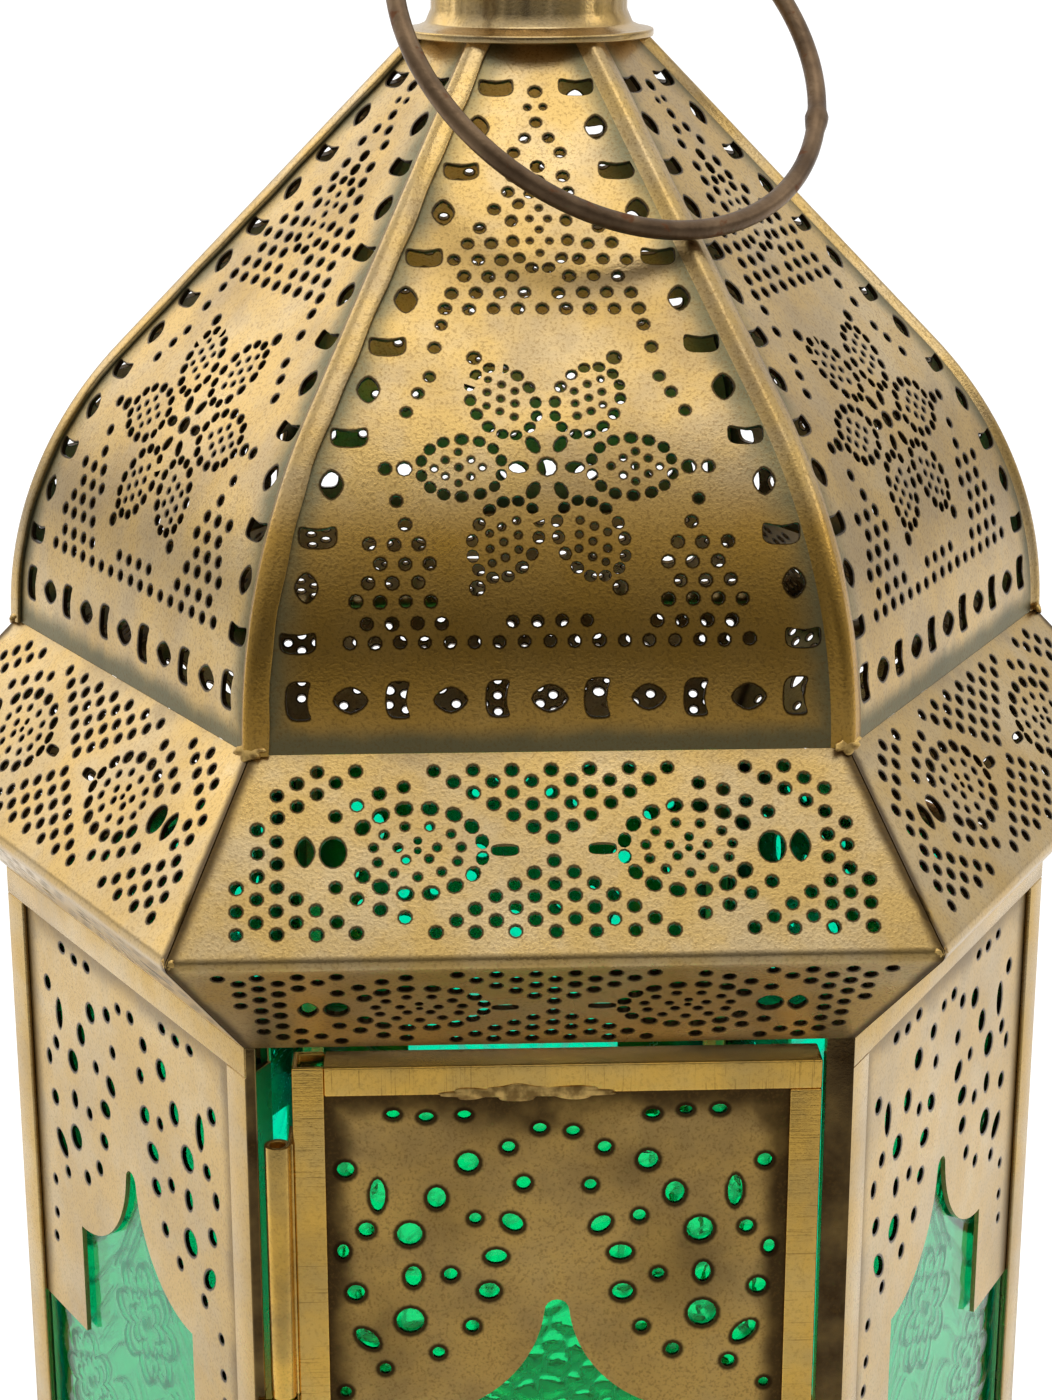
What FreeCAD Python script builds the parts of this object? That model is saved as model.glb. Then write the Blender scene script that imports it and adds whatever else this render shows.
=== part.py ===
import FreeCAD, Part
import math
import os
import Sketcher

# Hexagonal candle lantern, door to the front (-Y), origin on the floor at the centre, millimetres.

doc = FreeCAD.newDocument("candle_lantern")
sheet = doc.addObject("Spreadsheet::Sheet", "sizes")

DRIVING = [
    ("sheet_gauge", "0.6"),
    ("body_apothem", "57.5"),
    ("foot_apothem", "66"),
    ("foot_height", "20"),
    ("foot_flange", "4"),
    ("floor_gauge", "0.8"),
    ("wall_height", "104"),
    ("cornice_apothem", "70"),
    ("cornice_lower_rise", "14.5"),
    ("cornice_upper_rise", "18"),
    ("dome_apothem", "55"),
    ("dome_arc_radius", "52"),
    ("dome_arc_angle", "40.385"),
    ("dome_rise", "70.2"),
    ("seam_lap", "2.3"),
    ("seam_bend", "1.2"),
    ("lip_height", "3.6"),
    ("post_leg", "4.6"),
    ("jamb_leg", "3"),
    ("hinge_post_leg", "1.2"),
    ("slot_end", "2.9"),
    ("glass_gauge", "2.4"),
    ("slot_play", "0.4"),
    ("edge_play", "0.3"),
    ("arch_drop", "29"),
    ("arch_tip", "1.4"),
    ("cusp_drop", "43.3"),
    ("cusp_half", "15.9"),
    ("plate_drop", "58.2"),
    ("hinge_gap", "5"),
    ("jamb_gap", "3.4"),
    ("door_head_gap", "2.5"),
    ("door_sill_gap", "1"),
    ("stile_width", "3.5"),
    ("axis_gap", "1.7"),
    ("knuckle_radius", "1.45"),
    ("pin_radius", "0.8"),
    ("pin_play", "0.05"),
    ("knuckle_inset", "9"),
    ("middle_knuckle", "16"),
    ("knuckle_play", "0.5"),
    ("pin_recess", "4"),
    ("leaf_depth", "2"),
    ("rivet_radius", "0.75"),
    ("button_gauge", "0.8"),
    ("button_length", "9.5"),
    ("button_half", "1.5"),
    ("button_play", "0.3"),
    ("cup_radius", "20"),
    ("cup_height", "8"),
    ("flange_radius", "14.6"),
    ("flange_gauge", "0.9"),
    ("flange_fillet", "2.2"),
    ("neck_radius", "11.5"),
    ("neck_height", "9"),
    ("cap_overhang", "0.9"),
    ("cap_height", "5"),
    ("cap_gauge", "0.8"),
    ("shank_radius", "1.8"),
    ("shoulder_radius", "3"),
    ("shoulder_height", "1.4"),
    ("eye_height", "20.8"),
    ("eye_radius", "4"),
    ("eye_hole", "1.7"),
    ("eye_gauge", "3"),
    ("ring_radius", "26.2"),
    ("wire_radius", "1"),
    ("rest_play", "0.3"),
]

DERIVED = [
    ("wall_base", "=foot_height + floor_gauge"),
    ("sill_top", "=wall_base + lip_height"),
    ("wall_top", "=wall_base + wall_height"),
    ("rim_base", "=wall_top - lip_height"),
    ("fold_level", "=wall_top + cornice_lower_rise"),
    ("dome_base", "=fold_level + cornice_upper_rise"),
    ("crown_level", "=dome_base + dome_rise"),
    ("wall_depth", "=3 * sheet_gauge + glass_gauge + slot_play"),
    ("half_face", "=body_apothem * tan(30 deg)"),
    ("door_left", "=-half_face + hinge_gap"),
    ("door_right", "=half_face - jamb_gap"),
    ("door_base", "=sill_top + door_sill_gap"),
    ("door_top", "=wall_top - door_head_gap"),
    ("axis_across", "=door_left - axis_gap"),
    ("hinge_base", "=door_base + knuckle_inset"),
    ("hinge_top", "=door_top - knuckle_inset"),
    ("middle_base", "=(hinge_base + hinge_top - middle_knuckle) / 2"),
    ("button_across", "=half_face - jamb_leg / 2"),
    ("button_level", "=(door_base + door_top) / 2"),
    ("neck_top", "=crown_level + neck_height"),
    ("cap_top", "=neck_top + cap_height"),
    ("eye_level", "=crown_level + eye_height"),
]

for row, (alias, value) in enumerate(DRIVING + DERIVED, start=1):
    sheet.set("A%d" % row, alias)
    sheet.set("B%d" % row, value)
    sheet.setAlias("B%d" % row, alias)
doc.recompute()

nodes = []
V = FreeCAD.Vector
UP = V(0, 0, 1)
ORIGIN = V(0, 0, 0)
SIXTH = 60.0
HALF_SIXTH = math.radians(30)
REACH = 120.0


def size(alias):
    return float(sheet.get(alias))


def keep(item, label):
    item.Label = label
    nodes.append(item)
    return item


def bind(item, values):
    for name, text in values.items():
        item.setExpression(name, text)
    return item


def in_sheet(text):
    """Put the sheet's name before each size in a formula."""
    words = []
    for word in text.split():
        bare = word.strip("()-")
        words.append(word.replace(bare, "sizes." + bare) if bare and bare[0].isalpha() else word)
    return " ".join(words)


def at(values, across="0", depth="0", level="0"):
    for name, text in zip("xyz", (across, depth, level)):
        values["Placement.Base." + name] = in_sheet(text)
    return values


def box(name, across, depth, level, length, width, height):
    item = doc.addObject("Part::Box", name)
    sides = {"Length": in_sheet(length), "Width": in_sheet(width), "Height": in_sheet(height)}
    return bind(item, at(sides, across, depth, level))


def cylinder(name, radius, height, across="0", depth="0", level="0"):
    item = doc.addObject("Part::Cylinder", name)
    sides = {"Radius": in_sheet(radius), "Height": in_sheet(height)}
    return bind(item, at(sides, across, depth, level))


def hexagon(name, apothem, height, level):
    item = doc.addObject("Part::Prism", name)
    item.Polygon = 6
    sides = {"Circumradius": "(" + in_sheet(apothem) + ") / cos(30 deg)", "Height": in_sheet(height)}
    return bind(item, at(sides, level=level))


def cut(name, base, tool):
    item = doc.addObject("Part::Cut", name)
    item.Base = base
    item.Tool = tool
    return item


def fuse(name, pieces):
    item = doc.addObject("Part::MultiFuse", name)
    item.Shapes = pieces
    return item


def turned(name, corners):
    """Revolve a closed outline of (radius, level) formulas round the upright axis."""
    doc.recompute()
    outline = doc.addObject("Sketcher::SketchObject", name + "_outline")
    outline.Placement = FreeCAD.Placement(ORIGIN, FreeCAD.Rotation(V(1, 0, 0), 90))
    spots = []
    for radius, level in corners:
        spots.append(V(float(sheet.evalExpression(radius)), float(sheet.evalExpression(level)), 0))
    count = len(spots)
    for i in range(count):
        outline.addGeometry(Part.LineSegment(spots[i], spots[(i + 1) % count]), False)
    for i in range(count):
        outline.addConstraint(Sketcher.Constraint("Coincident", i, 2, (i + 1) % count, 1))
    for i, formulas in enumerate(corners):
        for kind, text, place in zip(("DistanceX", "DistanceY"), formulas, spots[i]):
            rule = outline.addConstraint(Sketcher.Constraint(kind, -1, 1, i, 1, place))
            outline.setExpression("Constraints[%d]" % rule, in_sheet(text))
    item = doc.addObject("Part::Revolution", name)
    item.Source = outline
    item.Axis = UP
    item.Angle = 360
    item.Solid = True
    return item


def shaped(label, shape, turn=0.0):
    item = doc.addObject("Part::Feature", label)
    item.Shape = shape
    item.Placement = FreeCAD.Placement(ORIGIN, FreeCAD.Rotation(UP, turn)).multiply(shape.Placement)
    return keep(item, label)


def polygon_face(corners):
    return Part.Face(Part.makePolygon(corners + [corners[0]]))


def sector(base, height):
    """The sixth of the plan that belongs to the front face."""
    side = REACH * math.tan(HALF_SIXTH)
    plan = [V(0, 0, base), V(-side, -REACH, base), V(side, -REACH, base)]
    return polygon_face(plan).extrude(V(0, 0, height))


def mitred(section, base, height):
    """Run a (distance out, level) section along the front face and mitre both ends."""
    corners = [V(-REACH, -out, level) for out, level in section]
    return polygon_face(corners).extrude(V(2 * REACH, 0, 0)).common(sector(base, height))


def ellipse_hole(width, height, tilt=0.0):
    longer, shorter = max(width, height) / 2, min(width, height) / 2
    if longer - shorter < 0.01:
        curve = Part.Circle(ORIGIN, UP, longer)
    else:
        curve = Part.Ellipse(ORIGIN, longer, shorter)
    face = Part.Face(Part.Wire(curve.toShape()))
    turn = tilt if width >= height else tilt + 90
    face.rotate(ORIGIN, UP, turn)
    return face


def slot_hole(width, height):
    radius = min(width, height) / 2
    reach = max(width, height) / 2 - radius
    left, right = V(-reach, 0, 0), V(reach, 0, 0)
    rise = V(0, radius, 0)
    outline = Part.Wire([
        Part.LineSegment(left - rise, right - rise).toShape(),
        Part.Arc(right - rise, right + V(radius, 0, 0), right + rise).toShape(),
        Part.LineSegment(right + rise, left + rise).toShape(),
        Part.Arc(left + rise, left - V(radius, 0, 0), left - rise).toShape(),
    ])
    face = Part.Face(outline)
    face.rotate(ORIGIN, UP, 0 if width >= height else 90)
    return face


def punch(face, place, along, outward):
    """Set a flat hole outline on a sheet and give it depth on both sides."""
    tool = face.extrude(V(0, 0, 4))
    tool.translate(V(0, 0, -2))
    turn = FreeCAD.Rotation(V(1, 0, 0), along, outward, "ZXY")
    tool.Placement = FreeCAD.Placement(place, turn).multiply(tool.Placement)
    return tool


gauge = size("sheet_gauge")

# Foot: six flared panels with a turned toe and a turned top.
out_low = size("foot_apothem")
out_high = size("body_apothem")
foot_height = size("foot_height")
foot_flange = size("foot_flange")
foot_run = (out_low - out_high) / foot_height
slant = gauge * math.hypot(1, foot_run)
foot_section = [
    (out_low, 0),
    (out_high, foot_height),
    (out_high - foot_flange, foot_height),
    (out_high - foot_flange, foot_height - gauge),
    (out_high + gauge * foot_run - slant, foot_height - gauge),
    (out_low - gauge * foot_run - slant, gauge),
    (out_low - foot_flange, gauge),
    (out_low - foot_flange, 0),
]
foot = mitred(foot_section, 0, foot_height)
for i in range(6):
    shaped("foot_panel_%d" % (i + 1), foot, SIXTH * i)

# Floor plate, and the channel that the walls stand in.
keep(hexagon("floor_plate", "body_apothem", "floor_gauge", "foot_height"), "floor_plate")


def channel_ring(name, level, groove_level):
    outside = hexagon(name + "_outside", "body_apothem", "lip_height", level)
    inside = hexagon(name + "_inside", "body_apothem - wall_depth", "lip_height + 2", level + " - 1")
    groove_outside = hexagon(name + "_groove", "body_apothem - sheet_gauge", "lip_height - sheet_gauge", groove_level)
    groove_inside = hexagon(
        name + "_tongue", "body_apothem - wall_depth + sheet_gauge", "lip_height + 2", level + " - 1")
    band = cut(name + "_band", outside, inside)
    groove = cut(name + "_slot", groove_outside, groove_inside)
    return cut(name + "_ring", band, groove)


keep(channel_ring("sill", "wall_base", "wall_base + sheet_gauge"), "sill_ring")

# Top rim: the same channel upside down, left open over the door.
rim_whole = channel_ring("rim", "rim_base", "rim_base")
rim_gap = doc.addObject("Part::Feature", "rim_gap")
rim_gap.Shape = sector(size("rim_base") - 1, size("lip_height") + 2)
keep(cut("top_rim", rim_whole, rim_gap), "top_rim")

# Candle cup, a plain dish soldered to the floor.
cup = [
    ("0", "wall_base"),
    ("cup_radius + sheet_gauge", "wall_base"),
    ("cup_radius + sheet_gauge", "wall_base + cup_height"),
    ("cup_radius", "wall_base + cup_height"),
    ("cup_radius", "wall_base + sheet_gauge"),
    ("0", "wall_base + sheet_gauge"),
]
keep(turned("candle_cup", cup), "candle_cup")

# Corner posts: a folded strip with a groove for the wall on each fixed side.
apothem = size("body_apothem")
wall_depth = size("wall_depth")


def corner_spot(turn, side, along, depth):
    """A plan point: along one of the two faces that meet at a corner, and depth below that face."""
    corner = apothem / math.cos(HALF_SIXTH)
    face_turn = turn + side * HALF_SIXTH
    outward = V(math.cos(face_turn), math.sin(face_turn), 0)
    run = V(-math.sin(face_turn), math.cos(face_turn), 0) * side
    start = V(corner * math.cos(turn), corner * math.sin(turn), 0)
    return start + run * along - outward * depth


def grooved_side(turn, side):
    leg = size("post_leg")
    end = size("slot_end")
    steps = [(leg, 0), (leg, gauge), (end, gauge), (end, wall_depth - gauge), (leg, wall_depth - gauge)]
    spots = [corner_spot(turn, side, along, depth) for along, depth in steps]
    spots.append(corner_spot(turn, side, leg, wall_depth))
    return spots


def plain_side(turn, side, leg):
    mitre = gauge * math.tan(HALF_SIXTH)
    return [corner_spot(turn, side, along, depth) for along, depth in [(leg, 0), (leg, gauge), (mitre, gauge)]]


def upright(corners, base, top):
    face = polygon_face([V(spot.x, spot.y, base) for spot in corners])
    return face.extrude(V(0, 0, top - base))


inner_mitre = wall_depth * math.tan(HALF_SIXTH)
sill_top = size("sill_top")
rim_base = size("rim_base")
wall_top = size("wall_top")
jamb_spot = V(size("button_across"), -apothem - wall_depth, size("button_level"))
jamb_hole = Part.makeCylinder(size("rivet_radius"), 2 * wall_depth, jamb_spot, V(0, 1, 0))
for i in range(6):
    turn = math.radians(-60 + 60 * i)
    corner = corner_spot(turn, 1, 0, 0)
    inner = corner_spot(turn, 1, inner_mitre, wall_depth)
    if i == 0:
        front_leg, front_side = size("jamb_leg"), -1
    elif i == 5:
        front_leg, front_side = size("hinge_post_leg"), 1
    else:
        front_leg, front_side = None, 0
    if front_leg is None:
        plan = [corner] + grooved_side(turn, 1) + [inner] + grooved_side(turn, -1)[::-1]
        post = upright(plan, sill_top, rim_base)
    else:
        front = plain_side(turn, front_side, front_leg)
        plan = [corner] + grooved_side(turn, -front_side) + [inner] + front[::-1]
        post = upright(plan, sill_top, rim_base)
        strip = upright([corner] + front, rim_base, wall_top)
        post = post.fuse(strip).removeSplitter()
        if i == 0:
            post = post.cut(jamb_hole)
    shaped("corner_post_%d" % (i + 1), post)

# Wall plates: ogee arch below, pierced field above. Each hole is across, below the frame, width, height, tilt.
PIERCING = [
    (17.9, 6.2, 1.6, 1.1, 0), (14.2, 6.3, 1.6, 1.1, 0), (10.5, 6.2, 1.6, 1.1, 0), (1.8, 8.2, 1.5, 1.2, 0),
    (5.2, 10.4, 1.6, 1.5, 0), (10.0, 11.9, 2.3, 2.3, 0), (23.1, 12.4, 1.8, 1.8, 0), (19.9, 15.7, 1.7, 4.0, 0),
    (13.2, 16.0, 2.0, 2.5, 0), (3.9, 14.8, 1.5, 1.5, 0), (9.2, 18.9, 1.4, 1.4, 0), (4.8, 19.6, 2.7, 2.0, 40),
    (21.4, 20.1, 1.7, 1.7, 0), (16.2, 20.5, 2.9, 2.9, 0), (23.6, 22.8, 1.3, 1.8, 0), (6.9, 23.5, 2.7, 2.0, 0),
    (11.6, 25.9, 1.5, 1.5, 0), (16.2, 25.7, 1.7, 2.4, 0), (7.5, 28.0, 2.2, 1.9, 0), (22.4, 28.0, 1.9, 1.9, 0),
    (16.4, 31.1, 3.0, 3.0, 0), (21.0, 33.7, 3.6, 2.0, 45), (9.5, 32.5, 1.5, 1.5, 0), (13.2, 35.4, 1.5, 1.5, 0),
    (19.4, 37.2, 1.4, 1.4, 0), (23.7, 40.1, 1.2, 1.2, 0), (24.0, 44.8, 1.2, 1.2, 0), (24.3, 48.5, 1.2, 1.2, 0),
]
ARCH_WAIST = 4.6
ARCH_WAIST_DROP = 9.0
OVERRUN = 1.0


def arched_plate(left, right, top, frame_top, middle):
    """A pierced plate in the front plane, its outer face at y = 0."""
    peak = frame_top - size("arch_drop")
    cusp = frame_top - size("cusp_drop")
    foot_level = frame_top - size("plate_drop")
    tip, half = size("arch_tip"), size("cusp_half")

    def spot(across, level):
        return V(middle + across, 0, level)

    edges = [
        Part.makePolygon([
            spot(-half, cusp), spot(-half, foot_level), V(left, 0, foot_level), V(left, 0, top),
            V(right, 0, top), V(right, 0, foot_level), spot(half, foot_level), spot(half, cusp)]),
        Part.Arc(spot(half, cusp), spot(ARCH_WAIST, peak - ARCH_WAIST_DROP), spot(tip, peak - tip)).toShape(),
        Part.Arc(spot(tip, peak - tip), spot(0, peak), spot(-tip, peak - tip)).toShape(),
        Part.Arc(spot(-tip, peak - tip), spot(-ARCH_WAIST, peak - ARCH_WAIST_DROP), spot(-half, cusp)).toShape(),
    ]
    outline = Part.Wire(edges[0].Edges + edges[1:])
    plate = Part.Face(outline).extrude(V(0, gauge, 0))
    tools = []
    for across, drop, width, height, tilt in PIERCING:
        for side in (-1, 1):
            face = ellipse_hole(width, height, side * tilt)
            tools.append(punch(face, spot(side * across, frame_top - drop), UP, V(0, -1, 0)))
    return plate.cut(tools)


half_pane = size("half_face") - size("slot_end") - size("edge_play")
pane_top = wall_top - gauge - size("edge_play")
wall_plate = arched_plate(-half_pane, half_pane, pane_top, wall_top, 0)
wall_plate.translate(V(0, -apothem + gauge, 0))
pane_base = size("wall_base") + gauge
wall_pane = Part.makeBox(
    2 * half_pane, size("glass_gauge"), pane_top - pane_base, V(-half_pane, -apothem + 2 * gauge, pane_base))
for i in range(1, 6):
    shaped("wall_plate_%d" % i, wall_plate, SIXTH * i)
    shaped("wall_glass_%d" % i, wall_pane, SIXTH * i)

# Cornice: one folded sheet per side, the same eyes pierced in both tiers.
fold_level = size("fold_level")
dome_base = size("dome_base")
fold_out = size("cornice_apothem")
top_out = size("dome_apothem")


def inset(start, end):
    """The unit normal towards the inside of a sloping sheet, as (distance out, level)."""
    run, rise = end[0] - start[0], end[1] - start[1]
    length = math.hypot(run, rise)
    return (-rise / length, run / length)


lower = [(apothem, wall_top), (fold_out, fold_level)]
upper = [(fold_out, fold_level), (top_out, dome_base)]
lower_in, upper_in = inset(*lower), inset(*upper)
lower_slant, upper_slant = gauge / -lower_in[0], gauge / -upper_in[0]
lower_grade = (fold_out - apothem) / (fold_level - wall_top)
upper_grade = (top_out - fold_out) / (dome_base - fold_level)
fold_shift = (lower_slant - upper_slant) / (lower_grade - upper_grade)
inner_fold = (fold_out - lower_slant + lower_grade * fold_shift, fold_level + fold_shift)
cornice_section = lower + [upper[1], (top_out - upper_slant, dome_base), inner_fold, (apothem - lower_slant, wall_top)]
cornice = mitred(cornice_section, wall_top, dome_base - wall_top)

EYE_ACROSS = 14.2
EYE_LONG = 6.9
EYE_SHORT = 4.75
EYE_DOTS = 16


def eye_holes():
    """Flat hole outlines of one tier, with their places about the middle of the tier."""
    found = []
    for side in (-1, 1):
        for i in range(EYE_DOTS):
            turn = 2 * math.pi * (i + 0.5) / EYE_DOTS
            across = side * EYE_ACROSS + EYE_LONG * math.cos(turn)
            found.append((ellipse_hole(1.7, 1.5), across, EYE_SHORT * math.sin(turn)))
        found.append((ellipse_hole(3.0, 3.4), side * 22.9, 0))
        found.append((ellipse_hole(1.9, 3.2), side * 25.8, 0))
        found.append((slot_hole(2.8, 1.2), side * 5.05, 0))
    return found


def tier_tools(low, high, inward):
    middle = ((low[0] + high[0]) / 2, (low[1] + high[1]) / 2)
    length = math.hypot(high[0] - low[0], high[1] - low[1])
    rise = V(0, -(high[0] - low[0]) / length, (high[1] - low[1]) / length)
    outward = V(0, inward[0], -inward[1])
    start = V(0, -middle[0], middle[1])
    return [punch(face, start + V(across, 0, 0) + rise * up, rise, outward) for face, across, up in eye_holes()]


cornice = cornice.cut(tier_tools(*lower, lower_in) + tier_tools(*upper, upper_in))
for i in range(6):
    shaped("cornice_panel_%d" % (i + 1), cornice, SIXTH * i)

# Dome: six panels bent on an arc that runs on straight to the crown.
arc_radius = size("dome_arc_radius")
arc_angle = math.radians(size("dome_arc_angle"))
arc_out = top_out - arc_radius
dome_rise = size("dome_rise")


def dome_point(out, level):
    return V(0, -out, dome_base + level)


def dome_line(offset):
    """Arc and straight run of the panel, offset outward, as their four plan points."""
    radius = arc_radius + offset
    foot_spot = (arc_out + radius, 0)
    middle = (arc_out + radius * math.cos(arc_angle / 2), radius * math.sin(arc_angle / 2))
    tangent = (arc_out + radius * math.cos(arc_angle), radius * math.sin(arc_angle))
    crown = (tangent[0] - (dome_rise - tangent[1]) * math.tan(arc_angle), dome_rise)
    return [dome_point(*spot) for spot in (foot_spot, middle, tangent, crown)]


def dome_band(inside, outside):
    a, b = dome_line(inside), dome_line(outside)
    outline = Part.Wire([
        Part.Arc(b[0], b[1], b[2]).toShape(),
        Part.LineSegment(b[2], b[3]).toShape(),
        Part.LineSegment(b[3], a[3]).toShape(),
        Part.LineSegment(a[3], a[2]).toShape(),
        Part.Arc(a[2], a[1], a[0]).toShape(),
        Part.LineSegment(a[0], b[0]).toShape(),
    ])
    band = Part.Face(outline)
    band.translate(V(-REACH, 0, 0))
    return band.extrude(V(2 * REACH, 0, 0)).common(sector(dome_base, dome_rise))


def seam_strip(width):
    """The part of a raised band that lies close to the right-hand rib."""
    near = Part.makeBox(width, REACH, dome_rise, V(-width, -REACH, dome_base))
    near.rotate(ORIGIN, UP, 30)
    return dome_band(0, gauge).common(near)


rib_side = V(math.cos(HALF_SIXTH), math.sin(HALF_SIXTH), 0)
lap = seam_strip(size("seam_lap")).mirror(ORIGIN, rib_side)
dome = dome_band(-gauge, 0).fuse([seam_strip(size("seam_bend")), lap]).removeSplitter()

BORDER_PITCH = 5.25
BORDER_RISE = 5.8
SIDE_START = 12.2
SIDE_PITCH = 5.55
SIDE_COUNT = 13
SIDE_INSET = 4.9


def dome_spot(rise):
    """Distance out, level and slope angle at a length up the sheet."""
    arc_length = arc_radius * arc_angle
    turn = min(rise / arc_radius, arc_angle)
    run = max(rise - arc_length, 0)
    out = arc_out + arc_radius * math.cos(turn) - run * math.sin(turn)
    return out, arc_radius * math.sin(turn) + run * math.cos(turn), turn


def dome_tool(face, across, rise):
    out, level, turn = dome_spot(rise)
    along = V(0, math.sin(turn), math.cos(turn))
    outward = V(0, -math.cos(turn), math.sin(turn))
    place = dome_point(out, level) + V(across, 0, 0)
    return punch(face, place, along, outward)


dome_tools = []
for i in range(-5, 6):
    border = slot_hole(2.8, 4.0) if i % 2 else ellipse_hole(3.4, 2.6)
    dome_tools.append(dome_tool(border, i * BORDER_PITCH, BORDER_RISE))
for i in range(SIDE_COUNT):
    rise = SIDE_START + i * SIDE_PITCH
    across = dome_spot(rise)[0] * math.tan(HALF_SIXTH) - SIDE_INSET
    for side in (-1, 1):
        border = ellipse_hole(2.2, 3.0) if i % 2 else slot_hole(3.6, 2.4)
        dome_tools.append(dome_tool(border, side * across, rise))
dome = dome.cut(dome_tools)
for i in range(6):
    shaped("dome_panel_%d" % (i + 1), dome, SIXTH * i)

# Neck collar with its flange on the crown, and the cap over it.
collar = [
    ("neck_radius - cap_gauge", "crown_level"),
    ("flange_radius", "crown_level"),
    ("flange_radius", "crown_level + flange_gauge"),
    ("neck_radius + flange_fillet", "crown_level + flange_gauge"),
    ("neck_radius + 0.3 * flange_fillet", "crown_level + flange_gauge + 0.3 * flange_fillet"),
    ("neck_radius", "crown_level + flange_gauge + flange_fillet"),
    ("neck_radius", "neck_top"),
    ("neck_radius - cap_gauge", "neck_top"),
]
keep(turned("neck_collar", collar), "neck_collar")
cap = [
    ("shank_radius", "cap_top - cap_gauge"),
    ("shoulder_radius", "cap_top - cap_gauge"),
    ("neck_radius * 0.6", "neck_top + cap_height * 0.5 - cap_gauge"),
    ("neck_radius - cap_gauge", "neck_top"),
    ("neck_radius + cap_overhang", "neck_top"),
    ("neck_radius + cap_overhang", "neck_top + cap_gauge"),
    ("neck_radius * 0.65", "neck_top + cap_height * 0.55"),
    ("shoulder_radius", "cap_top"),
    ("shank_radius", "cap_top"),
]
keep(turned("cap", cap), "cap")

# Eye: a shouldered stud through the cap with a flat drilled head.
ring_turn = -60.0
stud = [
    ("0", "cap_top - cap_gauge - shoulder_height"),
    ("shoulder_radius - 0.6", "cap_top - cap_gauge - shoulder_height"),
    ("shoulder_radius - 0.6", "cap_top - cap_gauge"),
    ("shank_radius", "cap_top - cap_gauge"),
    ("shank_radius", "cap_top"),
    ("shoulder_radius", "cap_top"),
    ("shank_radius", "cap_top + shoulder_height"),
    ("shank_radius", "eye_level - eye_radius + 1"),
    ("0", "eye_level - eye_radius + 1"),
]


def across_eye(name, radius, length):
    item = cylinder(name, radius, length)
    turn = FreeCAD.Rotation(UP, ring_turn - 90).multiply(FreeCAD.Rotation(V(0, 1, 0), 90))
    reach = size("eye_gauge") / 2 if name == "eye_disc" else size("eye_gauge")
    item.Placement.Rotation = turn
    start = turn.multVec(UP) * -reach
    return bind(item, {
        "Placement.Base.x": "%.6f" % start.x,
        "Placement.Base.y": "%.6f" % start.y,
        "Placement.Base.z": in_sheet("eye_level"),
    })


eye_disc = across_eye("eye_disc", "eye_radius", "eye_gauge")
eye_bore = across_eye("eye_bore", "eye_hole", "2 * eye_gauge")
keep(cut("eye", fuse("eye_blank", [turned("eye_stud", stud), eye_disc]), eye_bore), "eye")

# Ring handle: hangs in the eye and leans along the front right rib, just clear of its seam.
ring_radius = size("ring_radius")
rib_scale = 1 / math.cos(HALF_SIXTH)
rib_low, rib_high = dome_line(0)[2], dome_line(0)[3]
rib_run = V((rib_low.y - rib_high.y) * -rib_scale, 0, rib_low.z - rib_high.z).normalize()
rib_normal = V(-rib_run.z, 0, rib_run.x)
rib_start = V(-rib_high.y * rib_scale, 0, rib_high.z)
rib_gap = size("wire_radius") + size("rest_play") + gauge * rib_scale
eye_above = rib_normal.dot(V(0, 0, size("eye_level")) - rib_start)
lean = math.acos((rib_gap - eye_above) / (2 * ring_radius)) - math.atan2(rib_normal.z, rib_normal.x)
swing = math.radians(ring_turn)
hang = V(math.cos(swing) * math.cos(lean), math.sin(swing) * math.cos(lean), -math.sin(lean))
ring_axis = V(math.cos(swing) * math.sin(lean), math.sin(swing) * math.sin(lean), math.cos(lean))
ring = doc.addObject("Part::Torus", "ring_handle")
bind(ring, {"Radius1": in_sheet("ring_radius"), "Radius2": in_sheet("wire_radius")})
ring_centre = V(0, 0, size("eye_level")) + hang * ring_radius
ring.Placement = FreeCAD.Placement(ring_centre, FreeCAD.Rotation(UP, ring_axis))
keep(ring, "ring_handle")

# Door: four folded channel strips round a pierced plate and a pane.
FRONT = "-body_apothem"


def door_strip(label, across, level, length, height, groove):
    outside = box(label + "_outside", across, FRONT, level, length, "wall_depth", height)
    inside = box(label + "_groove", groove[0], FRONT + " + sheet_gauge", groove[1],
                 groove[2], "wall_depth - 2 * sheet_gauge", groove[3])
    return keep(cut(label, outside, inside), label)


door_tall = "door_top - door_base"
door_wide = "door_right - door_left"
door_strip("door_hinge_stile", "door_left", "door_base", "stile_width", door_tall,
           ("door_left + sheet_gauge", "door_base - 1", "stile_width", door_tall + " + 2"))
door_strip("door_latch_stile", "door_right - stile_width", "door_base", "stile_width", door_tall + " - stile_width",
           ("door_right - stile_width - sheet_gauge", "door_base - 1", "stile_width", door_tall + " + 2"))
door_strip("door_top_rail", "door_left + stile_width", "door_top - stile_width",
           door_wide + " - stile_width", "stile_width",
           ("door_left", "door_top - stile_width - sheet_gauge", door_wide + " + 2", "stile_width"))
door_strip("door_bottom_rail", "door_left + stile_width", "door_base",
           door_wide + " - 2 * stile_width", "stile_width",
           ("door_left", "door_base + sheet_gauge", door_wide, "stile_width"))

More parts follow.
